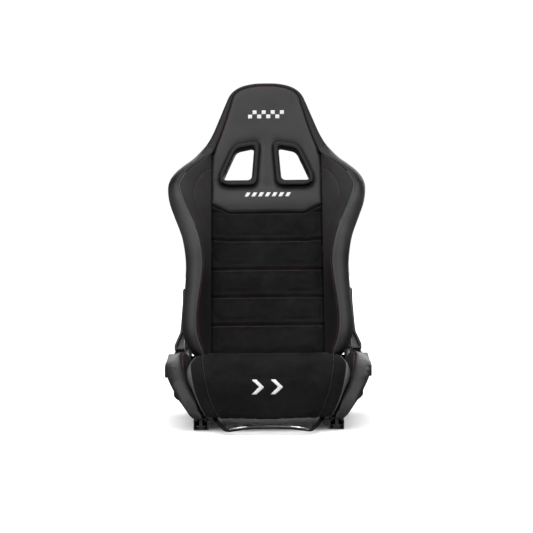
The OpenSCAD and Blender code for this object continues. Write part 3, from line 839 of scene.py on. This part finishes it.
def make_bezel(side_name, material):
    """Moulded ring that lines a harness opening from the front lip to the rear one."""
    count = 120
    inner = even(rounded(HOLE_OUTLINE, HOLE_CORNER), count, closed=True)
    outer = even(rounded(BEZEL_OUTLINE, BEZEL_CORNER), count, closed=True)
    shift = min(range(count), key=lambda k: ((np.roll(outer, k, 0) - inner)**2).sum())
    outer = np.roll(outer, shift, 0)
    # cut through the ring: how far out from the opening (0 to 1), and the depth
    cut = [(0.95, PAD_W - 9), (1.0, PAD_W - 4), (0.96, PAD_W + 1), (0.80, PAD_W + 4), (0.55, PAD_W + 4.6),
           (0.30, PAD_W + 3.2), (0.10, PAD_W - 1), (0.0, PAD_W - 8), (-0.06, 20), (0.0, SHELL_W + 9),
           (0.12, SHELL_W + 1), (0.4, SHELL_W - 2.6), (0.8, SHELL_W - 2), (0.98, SHELL_W + 1),
           (0.92, SHELL_W + 5)]
    rings = []
    for out, w in smooth_curve(cut, 56):
        x, z = (inner + (outer - inner) * out).T
        rings.append(np.column_stack([x * SIDES[side_name], height_to_v(z, w), np.full(count, w)]))
    faces = grid_faces(len(rings), count, wrap=True, joined=True)
    piece = add_piece("bezel_" + side_name, place_on_back(np.vstack(rings)), faces, material, "backrest",
                      ("harness_bezel_" + side_name,))
    fix_normals(piece)


# ---------- rear shell ----------

SHELL_ROUND = 15
SHELL_FOOT = 10
SHELL_PADDING = 4
SHELL_FACING = (0, 1, 0)


def shell_outline(inset):
    """Right half of the rear shell's outline, moved inwards."""
    half = border_rows()[::2, 6:8]
    tangent = np.gradient(half, axis=0)
    normal = np.column_stack([tangent[:, 1], -tangent[:, 0]])
    normal /= np.maximum(np.linalg.norm(normal, axis=1), 1e-9)[:, None]
    normal[-1] = (0, 1)
    moved = half - normal * inset
    moved[:, 0] = np.maximum(moved[:, 0], 0)
    return moved


def make_shell(material):
    """Rear cover: a side wall from the front cover's seam, rounded over into a back panel."""
    profile = [(0.6, SPLIT_W), (0, SPLIT_W - 5), (-0.6, -10), (0, -26), (4, -36), (SHELL_ROUND, SHELL_W + 1)]
    rings = []
    for inset, w in smooth_curve(profile, 24):
        half = shell_outline(inset)
        rings.append(np.column_stack([half, np.full(len(half), w)]))
    p = np.array(rings)
    p = np.concatenate([p[:, :-1] * [-1, 1, 1], p[:, ::-1]], 1)
    add_cover("shell_wall", p, material, SHELL_FACING, SHELL_PADDING, ("back_shell",))

    half = shell_outline(SHELL_ROUND)
    half = half[half[:, 1] > SHELL_FOOT][::2]
    foot = [(0, SHELL_FOOT), (half[0, 0], SHELL_FOOT)]
    outline = both_sides(np.vstack([foot, half[:-1], [(0, half[-1, 1])]]))
    edge = rounded(BEZEL_OUTLINE, BEZEL_CORNER)
    hole = np.column_stack([edge[:, 0], height_to_v(edge[:, 1], SHELL_W)])
    hole = hole.mean(0) + (hole - hole.mean(0)) * 0.95
    holes = [hole * [side, 1] for side in SIDES.values()]
    points, quads, edge = flat_panel(outline, holes, WIDE_STEP)
    w = SHELL_W + 1 - 2.2 * (1 - np.exp(-edge / 30)) + crease(edge, 2.4, 3.4)
    for seam in ([(-150, 20), (-118, 470)], [(150, 20), (118, 470)], [(-118, 470), (118, 470)]):
        w += crease(distance_to(points, seam)[0], 2.0, 3.2)
    add_pad("shell_panel", points, quads[:, ::-1], w, w + SHELL_PADDING, material, "backrest",
            ())


# ---------- cushion ----------

ROLL_PROFILE = [
    (-210, 43), (-221, 34), (-235, 31), (-244, 44), (-249, 80), (-251, 112), (-250, 138), (-245, 156),
    (-234, 171), (-216, 183), (-196, 188), (-168, 184), (-140, 168), (-122, 146), (-120, 110), (-120, 78),
    (-165, 76), (-203, 76)]
# half width of the suede front, and of the gusset beside it, at each height
ROLL_HALF = [(28, 149), (33, 153), (53, 164), (77, 173), (101, 180), (126, 184.5), (150, 188),
             (168, 189.5), (178, 186), (185, 180), (190, 176)]
GUSSET_HALF = [(28, 154), (34, 159), (53, 168.5), (72, 177), (99, 187), (121, 195), (145, 200),
               (160, 199.5), (171, 195), (179, 189), (190, 182)]
ROLL_SEAM = [(29, 120), (37, 126), (46, 131), (65, 139.5), (90, 148), (102, 152), (148, 160),
             (172, 163.5), (190, 163.5)]
ROLL_CENTRE = (-184, 112)
GUSSET_RINGS = 14


def roll_ring(count):
    """Points round the roll's profile as (y, z), and which of them are on its foot."""
    ring = even(smooth_curve(ROLL_PROFILE + ROLL_PROFILE[:1], 400), count, closed=True)
    return ring, (ring[:, 0] > -208) & (ring[:, 1] < 100)


def make_roll(suede, leather):
    """Tall thigh roll: a suede front in three panels, closed by leather gussets."""
    ring, foot = roll_ring(170)
    half, seam = lookup(ROLL_HALF, ring[:, 1]), lookup(ROLL_SEAM, ring[:, 1])
    to_centre = ring - ROLL_CENTRE
    radius = np.linalg.norm(to_centre, axis=1)
    to_centre /= radius[:, None]
    columns, held = [], []
    for x in half * np.linspace(0, 1, 42)[:, None]:
        to_seam, to_edge = np.abs(x - seam), half - x
        sink = crease(to_seam, 2.8, 3.2) + 4.5 * np.clip(1 - to_edge / 22, 0, 1)**2
        sink += crease(to_edge, 1.2, 2.2)
        sink -= 2.5 * np.cos(np.clip(x / np.maximum(seam, 1), 0, 1) * math.pi / 2)
        columns.append(np.column_stack([x, ring - to_centre * (sink + 2.5)[:, None]]))
        held.append((to_seam < 6) | (to_edge < 5) | foot)
    # gusset: swells outside the front's edge, then closes towards the middle of the side
    swell = lookup(GUSSET_HALF, ring[:, 1]) - half
    for g in np.linspace(0, 1, GUSSET_RINGS + 1)[1:]:
        turn = min(1, g * 1.6) * math.pi / 2
        x = half + swell * math.sin(turn) - 3.0 * g**2
        inward = 6.2 + 13 * (1 - math.cos(turn)) + 90 * max(0, g - 0.6)
        p = ROLL_CENTRE + to_centre * np.maximum(radius - inward, radius * (1 - g) * 0.9)[:, None]
        columns.append(np.column_stack([x, p]))
        held.append(np.full(len(ring), True))
    p, held = np.array(columns), np.array(held)
    p = np.concatenate([p[:0:-1] * [-1, 1, 1], p])
    held = np.concatenate([held[:0:-1], held]).ravel()
    row = np.arange(len(p) - 1)
    on_gusset = (row < GUSSET_RINGS) | (row >= len(p) - 1 - GUSSET_RINGS)
    second = np.r_[np.repeat(on_gusset, len(ring)), True, True]
    piece = add_loft("front_roll_cover", p, [suede, leather], second, ("front_roll",))
    inflate(piece, held, 3.5)
    return piece


CUSHION_HALF = 198
CUSHION_FRONT = -124
CUSHION_BACK = 158
CUSHION_TOP = 138
CUSHION_CHANNELS = (-50, 25, 100)
CUSHION_SIDE_SEAM = 140


def cushion_height(x, y):
    """Sitting surface: dished across, with three sewn channels."""
    z = CUSHION_TOP - 6 + 8 * np.clip(np.abs(x) / CUSHION_HALF, 0, 1)**2.5
    for seam in CUSHION_CHANNELS:
        z = z - crease(y - seam, 4.0, 3.6)
    for side in SIDES.values():
        z = z - crease(x - side * CUSHION_SIDE_SEAM, 3.5, 3.4)
    return z


def make_cushion(suede):
    outline = rounded([(-CUSHION_HALF, CUSHION_FRONT), (CUSHION_HALF, CUSHION_FRONT),
                       (CUSHION_HALF, CUSHION_BACK), (-CUSHION_HALF, CUSHION_BACK)], 30)
    points, quads, edge = flat_panel(outline, [], WIDE_STEP)
    x, y = points.T
    z = cushion_height(x, y) - 10 * np.exp(-(edge / 9)**1.5)
    piece = add_pad("seat_cushion_cover", points, quads, z, 75, suede, "seat_base",
                    ("seat_cushion",))
    held = (edge < 8) | (np.abs(np.abs(x) - CUSHION_SIDE_SEAM) < 4.5)
    for seam in CUSHION_CHANNELS:
        held |= np.abs(y - seam) < 4.5
    inflate(piece, held, 5.0)


# Sections of the right base bolster as (x, z), anticlockwise from the inner lower edge, keyed by y.
# The ninth point is the seam between the leather and the suede.
SEAM_POINT = 8
BASE_SECTIONS = {
    -232: [(165, 34), (172, 31), (182, 33), (189, 40), (192, 49), (189, 58), (181, 61), (174, 57),
           (171, 52), (169, 48), (167, 43), (165, 38)],
    -229: [(161, 31), (172, 29), (184, 32), (196, 44), (206, 62), (199, 76), (188, 79), (178, 71),
           (173, 61), (170, 54), (167, 47), (163, 38)],
    -219: [(160, 29.5), (173, 28), (190, 35), (203, 52), (218, 76), (216, 93), (201, 100), (186, 92),
           (179, 75), (175, 64), (171, 54), (165, 41)],
    -208: [(160, 29.5), (174, 28), (193, 36), (207, 56), (226, 85), (229, 107), (213, 117), (195, 108),
           (186, 88), (181, 74), (175, 60), (167, 43)],
    -202: [(192, 36), (194, 34.5), (198, 43), (211, 61), (231, 91), (235, 115), (219, 125), (202, 118),
           (195, 102), (194, 88), (193, 68), (192, 50)],
    -180: [(192, 36), (196, 36), (202, 45), (216, 64), (236, 97), (244, 127), (229, 138), (213, 136),
           (204, 126), (200, 108), (196, 82), (192, 56)],
    -150: [(192, 36), (198, 36), (207, 46), (218, 62), (236, 91), (250, 121), (252, 144), (235, 154),
           (215, 153), (206, 137), (199, 100), (192, 62)],
    -110: [(192, 36), (200, 36), (212, 46), (229, 69), (243, 100), (259, 132), (261, 154), (245, 166),
           (219, 165), (208, 149), (200, 108), (192, 66)],
    -60: [(192, 36), (200, 36), (214, 47), (233, 72), (249, 107), (262, 137), (263, 157), (247, 172),
          (224, 174), (210, 158), (202, 114), (192, 70)],
    -22: [(192, 37), (200, 37), (214, 48), (232, 74), (246, 108), (258, 142), (257, 163), (244, 175),
          (225, 177), (211, 161), (203, 116), (192, 72)],
    0: [(192, 38), (200, 38), (212, 50), (226, 78), (236, 112), (244, 146), (243, 166), (236, 176),
        (224, 178), (211, 163), (203, 118), (192, 74)],
    16: [(192, 39), (200, 39), (211, 50), (221, 78), (229, 112), (236, 146), (236, 166), (231, 176),
         (222, 178), (211, 163), (203, 118), (192, 74)],
    60: [(192, 43), (200, 43), (210, 53), (220, 80), (228, 112), (235, 144), (235, 164), (230, 173),
         (221, 175), (211, 161), (203, 118), (192, 76)],
    96: [(192, 45), (200, 45), (210, 54), (219, 80), (227, 110), (233, 139), (233, 158), (229, 167),
         (221, 169), (211, 156), (203, 116), (192, 76)],
}
BASE_STATIONS = 120
# points round each section: the leather from the inner lower edge up to the seam, then the suede
LEATHER_POINTS, SUEDE_POINTS = 96, 44


def make_base_bolster(side_name, leather, suede):
    """Bolster beside the cushion: a lofted pad whose front end wraps in front of the rail.
    Gives the path of the thread beside its seam, and the surface's normals there."""
    mirror = [SIDES[side_name], 1, 1]
    ys = np.array(sorted(BASE_SECTIONS), float)
    rings = []
    for y in ys:
        knots = np.array(BASE_SECTIONS[int(y)], float)
        dense = smooth_curve(np.vstack([knots, knots[:1]]), 12 * 24 + 1)
        split = int(np.argmin(np.linalg.norm(dense - knots[SEAM_POINT], axis=1)))
        rings.append(np.vstack([even(dense[:split + 1], LEATHER_POINTS + 1)[:-1],
                                even(dense[split:], SUEDE_POINTS + 1)[:-1]]))
    rings = np.array(rings)
    # smooth in y through the sections, with the stations closer together at the front
    count, seam = rings.shape[1], LEATHER_POINTS
    y_new = np.interp(np.linspace(0, 1, BASE_STATIONS), [0, 0.12, 0.3, 1], [ys[0], -219, -180, ys[-1]])
    p = np.empty((BASE_STATIONS, count, 3))
    p[..., 1] = y_new[:, None]
    for j in range(count):
        p[:, j, 0] = monotone(ys, rings[:, j, 0], y_new)
        p[:, j, 2] = monotone(ys, rings[:, j, 1], y_new)
    inward = p.mean(1, keepdims=True) - p
    inward /= np.linalg.norm(inward, axis=2, keepdims=True)
    spacing = np.linalg.norm(p[:, seam + 1] - p[:, seam], axis=1)[:, None]
    away = np.abs(np.arange(count) - seam)[None, :] * spacing
    p += inward * crease(away, 3.0, 4.0)[:, :, None]
    # soft folds that run down from the seam, as the cover is pulled over the foam
    wave = np.sin(p[..., 1] / 17 + p[..., 2] / 40) * np.sin(p[..., 2] / 23 + 1)
    p += inward * (0.5 * wave * (p[..., 2] < 150))[:, :, None]
    held = (away < 6) | (p[..., 2] < 62) | (p[..., 0] < 196)
    held[:4] = held[-6:] = True
    p = p * mirror
    name = "base_bolster_" + side_name
    second = np.r_[np.tile(np.arange(count) >= seam, BASE_STATIONS - 1), False, False]
    piece = add_loft(name + "_cover", p, [leather, suede], second, (name,))
    inflate(piece, held.ravel(), 1.6, looseness=0.0)
    normals = -inward[:, seam] * mirror
    return p[:, seam + 1] + normals * 0.5, normals


# ---------- seams, threads and marks ----------

MARK_LIFT = 0.9
MARK_STEP = 1.6
PIPING_RADIUS = 1.25


def add_threads(m):
    """Red threads beside the seams of the backrest."""
    thread = m["red_thread"]
    # along the ridge seam, just inside it, and along the seam inside each wing
    on_wing = wing_rows()
    ridge = on_wing[:, 0:3]
    line = wing_depth(on_wing, np.array([0.0, 0.06, 0.12]))[:, 1] + [0, 0, 0.1]
    further = ridge + (wing_depth(on_wing, np.array([0, 0.2]))[:, 1] - ridge) * 0.25
    line = np.where((np.linalg.norm(line - ridge, axis=1) < 3)[:, None], further, line)[6:-4]
    x, v = (smooth_curve(LEAF, 120) - [2.6, 0]).T
    leaf = np.column_stack([x, v, wing_point(x, v) + 2.0])
    for name, side in SIDES.items():
        normal = turned([-0.55 * side, 0, 1.0])
        for stem, path in (("ridge_thread_", line), ("wing_thread_", leaf)):
            stitch_row(stem + name, place_on_back(path * [side, 1, 1]), normal, thread, "backrest")
    # round the head, inside its border
    head = head_rows()
    ridge, outward = head[:, 0:2], head[:, 3:5] - head[:, 0:2]
    inner = ridge - outward / np.linalg.norm(outward, axis=1)[:, None] * 3.2
    gap, _ = distance_to(inner, ridge)
    w = head_depth(inner[:, 0], inner[:, 1]) - crease(gap, 3.4, 3.6) - 4.0 * np.exp(-gap / 11) + 0.2
    half = np.column_stack([inner, w])
    half = half[half[:, 0] > 0]
    line = np.vstack([half * [-1, 1, 1], half[::-1]])
    forward = turned([0, 0, 1.0])
    stitch_row("head_thread", place_on_back(line), forward, thread, "backrest")
    # across the centre panel, under each channel and under the head panel's edge
    x = np.linspace(-PANEL_HALF + 4, PANEL_HALF - 4, 120)
    for k, seam in enumerate(SEAMS_ACROSS):
        if seam in CHANNELS:
            v = channel_height(seam, x) - 3.4
            w = centre_depth(x, v) - crease(PANEL_HALF - np.abs(x), 5.0, 4.5) + 0.2
        else:
            rise = (np.abs(x) - CHIN_HALF) * (CHIN_CORNER - CHIN) / (PANEL_HALF - CHIN_HALF)
            v = np.where(np.abs(x) < CHIN_HALF, CHIN, CHIN + rise) - 5
            w = np.full(len(x), PANEL_FRONT - 1.5)
        line = place_on_back(np.column_stack([x, v, w]))
        stitch_row(f"channel_thread_{k}", line, forward, m["dull_thread"], "backrest")


def add_roll_threads(m):
    """Threads beside the two seams of the front roll."""
    ring, foot = roll_ring(400)
    front = ring[(ring[:, 0] < -140) & (ring[:, 1] > 33) & ~foot]
    front = front[np.argsort(np.arctan2(front[:, 1] - ROLL_CENTRE[1], -(front[:, 0] - ROLL_CENTRE[0])))]
    out = front - ROLL_CENTRE
    out /= np.linalg.norm(out, axis=1)[:, None]
    x = lookup(ROLL_SEAM, front[:, 1]) - 3.4
    for name, side in SIDES.items():
        line = np.column_stack([x * side, front - out * 1.9])
        normals = np.column_stack([np.zeros(len(x)), out])
        stitch_row("roll_thread_" + name, line, normals, m["dull_thread"], "seat_base")


def raised_mark(name, shapes, place, material, body):
    """Embroidered mark: each outline becomes a low, domed patch on the surface given by place(x, v, lift)."""
    verts, faces = [], []
    for outline in shapes:
        points, quads, edge = flat_panel(even(outline, 160, closed=True), [], MARK_STEP)
        x, v = points.T
        dome = MARK_LIFT * (1 - np.exp(-edge / 0.8))
        patch, sides = close_panel(place(x, v, 0.15 + dome), quads, place(x, v, np.full(len(x), -1.2)))
        faces += [tuple(np.array(face) + len(verts)) for face in sides]
        verts += list(patch)
    fix_normals(add_piece(name, verts, faces, material, body))


def slanted(x, v, width, height, lean):
    return np.array([(x, v), (x + width, v), (x + width + lean, v + height), (x + lean, v + height)], float)


def add_marks(m, head, roll):
    """Plain embroidered motifs: a two-row chequer band, slanted dashes, and a double chevron."""
    head_skin, roll_skin = skin_of(head), skin_of(roll)
    into_back = -turned([0, 0, 1.0])

    def on_head(x, v, lift):
        return onto(head_skin, place_on_back(np.column_stack([x, v, head_depth(x, v)])), into_back, lift)

    def on_roll(x, v, lift):
        return onto(roll_skin, np.column_stack([x, np.full(len(x), -250.0), v]), (0, 1, 0), lift)

    cell, square = 13, 13 - 1.2
    chequers = [slanted((i - 4) * cell + 0.6, 686 + (i % 2) * cell, square, square, 0) for i in range(8)]
    dashes = [slanted(19 * i - 63, 451, 11, 13, 7) for i in range(7)]
    chevron = np.array([(0, 92), (13, 92), (32, 110), (13, 128), (0, 128), (19, 110)], float)
    chevrons = [chevron + [start, 0] for start in (-42, 4)]
    for name, shapes, place, body in (("head_mark", chequers, on_head, "backrest"),
                                      ("chest_mark", dashes, on_head, "backrest"),
                                      ("cushion_mark", chevrons, on_roll, "seat_base")):
        raised_mark(name, shapes, place, m["white_thread"], body)


def add_piping(m):
    """Pale cord sewn into the ridge seam round each shoulder, laid only where the ridge catches light: partly real
    piping, partly a painted highlight.
    """
    rows = border_rows()
    part = rows[(np.arange(len(rows)) < 0.66 * BORDER_ROWS) & (rows[:, 1] > 345) & (rows[:, 1] < 508)]
    for name, side in SIDES.items():
        line = (part[:, 0:3] + [1.0, 0, -1.6]) * [side, 1, 1]
        tube("piping_" + name, place_on_back(line), PIPING_RADIUS, m["piping_highlight"], "backrest")


# ---------- hard parts ----------

def pair(*stems):
    """Names of the nodes that come as a left and a right one."""
    return [stem + "_" + side for stem in stems for side in SIDES]


def finish_cad_nodes(m):
    """Materials and softened edges for the CAD nodes that stay as they are."""
    looks = {
        "rail": pair("lower_rail", "upper_rail"),
        "frame": [*pair("side_frame"), "front_cross_tube", "rear_cross_tube", "seat_pan",
                  *pair("recliner_plate", "recliner_arm", "back_side_tube"), "back_top_hoop",
                  "back_lower_tube", "back_middle_tube", "release_shaft"],
        "dark_steel": [*pair("latch_rack"), "latch_pawls", "release_hubs", *pair("recliner_disc")],
        "steel": ["frame_bolts", *pair("recliner_spindle"), "spindle_clips", *pair("release_pin"),
                  "release_springs", "lever_screws"],
        "gusset": pair("recliner_gusset"),
        "plastic": pair("side_cover", "recliner_cover"),
        "lever": pair("recline_lever"),
        "bar": ["release_bar"],
        "glide": ["rail_glides"],
        "rubber": ["rail_bumpers"],
        "webbing": ["lumbar_straps"],
    }
    edges = {"rail": 0.6, "frame": 0.6, "gusset": 0.5, "plastic": 2.2, "lever": 4.0, "dark_steel": 0.4}
    for look, names in looks.items():
        for name in names:
            mesh = frame["nodes"][name].data
            mesh.materials.clear()
            mesh.materials.append(m[look])
            mesh.polygons.foreach_set("material_index", [0] * len(mesh.polygons))
            if look in edges:
                soften(name, edges[look])
            else:
                smooth_by_angle(mesh, 35)


def soften(name, width):
    """A copy of a hard part with rolled edges, which stands for it."""
    mesh = frame["nodes"][name].data.copy()
    piece = bpy.data.objects.new(name + "_finished", mesh)
    bpy.context.scene.collection.objects.link(piece)
    bevel = piece.modifiers.new("edges", "BEVEL")
    bevel.width = width * MM
    bevel.segments = 3
    bevel.limit_method = "ANGLE"
    bevel.angle_limit = math.radians(40)
    smooth_by_angle(mesh, 50)
    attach(piece, body_of(name))
    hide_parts(name)


def body_of(name):
    bodies = frame["record"]["behaviour"]["bodies"]
    return next(body for body, nodes in bodies.items() if name in nodes)


def smooth_by_angle(mesh, angle):
    """Smooth shading, with the edges sharper than the angle in degrees kept."""
    mesh.polygons.foreach_set("use_smooth", [True] * len(mesh.polygons))
    mesh.set_sharp_from_angle(angle=math.radians(angle))


# ---------- stage ----------

# in metres
FLOOR_HALF = 60


def add_surround():
    """World that is white to the camera, but lights the seat only faintly."""
    world = bpy.data.worlds.new("surround")
    bpy.context.scene.world = world
    world.use_nodes = True
    tree = world.node_tree
    seen = tree.nodes["Background"]
    seen.inputs["Color"].default_value = (1, 1, 1, 1)
    seen.inputs["Strength"].default_value = 1.02
    direction = add_node(tree, "TexCoord").outputs["Generated"]
    axes = add_node(tree, "SeparateXYZ", feeds={"Vector": direction})
    strength = spread(tree, axes.outputs["Y"], 0.30, 0.07, -0.5, 0.4)
    faint = add_node(tree, "Background", {"Color": (1, 1, 1, 1)}, {"Strength": strength})
    mix = add_node(tree, "MixShader", feeds={"Fac": add_node(tree, "LightPath").outputs["Is Camera Ray"],
                                             1: faint.outputs["Background"], 2: seen.outputs["Background"]})
    feed(tree, tree.nodes["World Output"], {"Surface": mix.outputs["Shader"]})


def add_floor():
    corners = [(x * FLOOR_HALF, y * FLOOR_HALF, 0) for x, y in ((-1, -1), (1, -1), (1, 1), (-1, 1))]
    mesh = bpy.data.meshes.new("floor")
    mesh.from_pydata(corners, [], [(0, 1, 2, 3)])
    mesh.materials.append(new_material("pale_floor", (0.95, 0.95, 0.95), 0.8)[0])
    floor = bpy.data.objects.new("floor", mesh)
    bpy.context.scene.collection.objects.link(floor)
    floor.location.z = -0.0005
    floor.visible_diffuse = False
    floor.visible_glossy = False
    return floor


def light_group(name, *receivers):
    """Collection for lights that shine on some of the objects only."""
    group = bpy.data.collections.new(name)
    for receiver in receivers:
        group.objects.link(receiver)
    return group


def add_light(kind, name, axis, direction, lit, **settings):
    """Lamp with one of its axes along a direction. It shines down its own -Z, on the lit group or on all."""
    data = bpy.data.lights.new(name, kind)
    for setting, value in settings.items():
        setattr(data, setting, value)
    light = bpy.data.objects.new(name, data)
    light.rotation_euler = Vector(direction).to_track_quat(axis, "Y").to_euler()
    light.light_linking.receiver_collection = lit
    bpy.context.scene.collection.objects.link(light)
    return light


def add_area(name, place, target, width, height, power, lit=None):
    light = add_light("AREA", name, "-Z", Vector(target) - Vector(place), lit,
                      shape="RECTANGLE", size=width, size_y=height, energy=power)
    light.location = place
    light.visible_camera = False


def add_stage():
    """Pale floor, white surround, and soft lights above and beside the seat."""
    bpy.context.scene.view_settings.view_transform = "Standard"
    add_surround()
    floor, bar = add_floor(), frame["nodes"]["release_bar"]
    # the glossy release bar has two tall strip lights to itself, which it reflects as two bright spots
    on_floor, on_bar = light_group("on_floor", floor), light_group("on_bar", bar)
    on_seat = light_group("on_seat", floor, bar)
    for excluded in on_seat.collection_objects:
        excluded.light_linking.link_state = "EXCLUDE"
    for name, back, strength, breadth, lit in (("top", (-0.1, -0.5, 1.5), 2.0, 70, on_seat),
                                               ("left", (-1.0, -0.9, 0.55), 1.55, 50, on_seat),
                                               ("right", (1.0, -0.9, 0.55), 1.55, 50, on_seat),
                                               ("behind", (0.15, 1.0, 0.55), 1.6, 60, on_seat),
                                               ("ceiling", (0, -0.05, 1), 5.4, 175, on_floor)):
        add_light("SUN", name, "Z", back, lit, energy=strength, angle=math.radians(breadth))
    add_area("front", (0, -3.2, 1.3), (0, 0.1, 0.5), 1.2, 0.8, 14)
    for name, side in SIDES.items():
        add_area("strip_" + name, (0.33 * side, -1.2, 1.0), (0.07 * side, -0.3, 0.02), 0.10, 1.6, 36, on_bar)


def build():
    add_camera()
    m = make_materials()
    finish_cad_nodes(m)
    for name, side in SIDES.items():
        # the bolster's border has the lighter leather copy, with painted light and painted shade by height
        make_border("back_bolster_cover_" + name, 0, SHOULDER_ROW, side, m["shoulder_leather_painted_light_and_shade"],
                    ("back_bolster_" + name,))
        make_wing("wing_panel_" + name, side, m["wing_suede"])
        make_bezel(name, m["bezel"])
    # the border over the head has the darker copy of the leather: painted shade
    make_border("head_border", SHOULDER_ROW, 1, 0, m["leather_painted_shade"], ())
    make_centre_panel(m["suede"])
    head = make_head_panel(m["leather"])
    make_shell(m["leather"])
    roll = make_roll(m["suede"], m["gusset_leather"])
    make_cushion(m["suede"])
    for name in SIDES:
        path, normal = make_base_bolster(name, m["leather"], m["suede"])
        shown = (path[:, 1] > -176) & (path[:, 1] < -2)
        stitch_row("base_thread_" + name, path[shown], normal[shown], m["red_thread"], "seat_base")
    add_threads(m)
    add_roll_threads(m)
    add_piping(m)
    add_marks(m, head, roll)
    add_stage()


build()
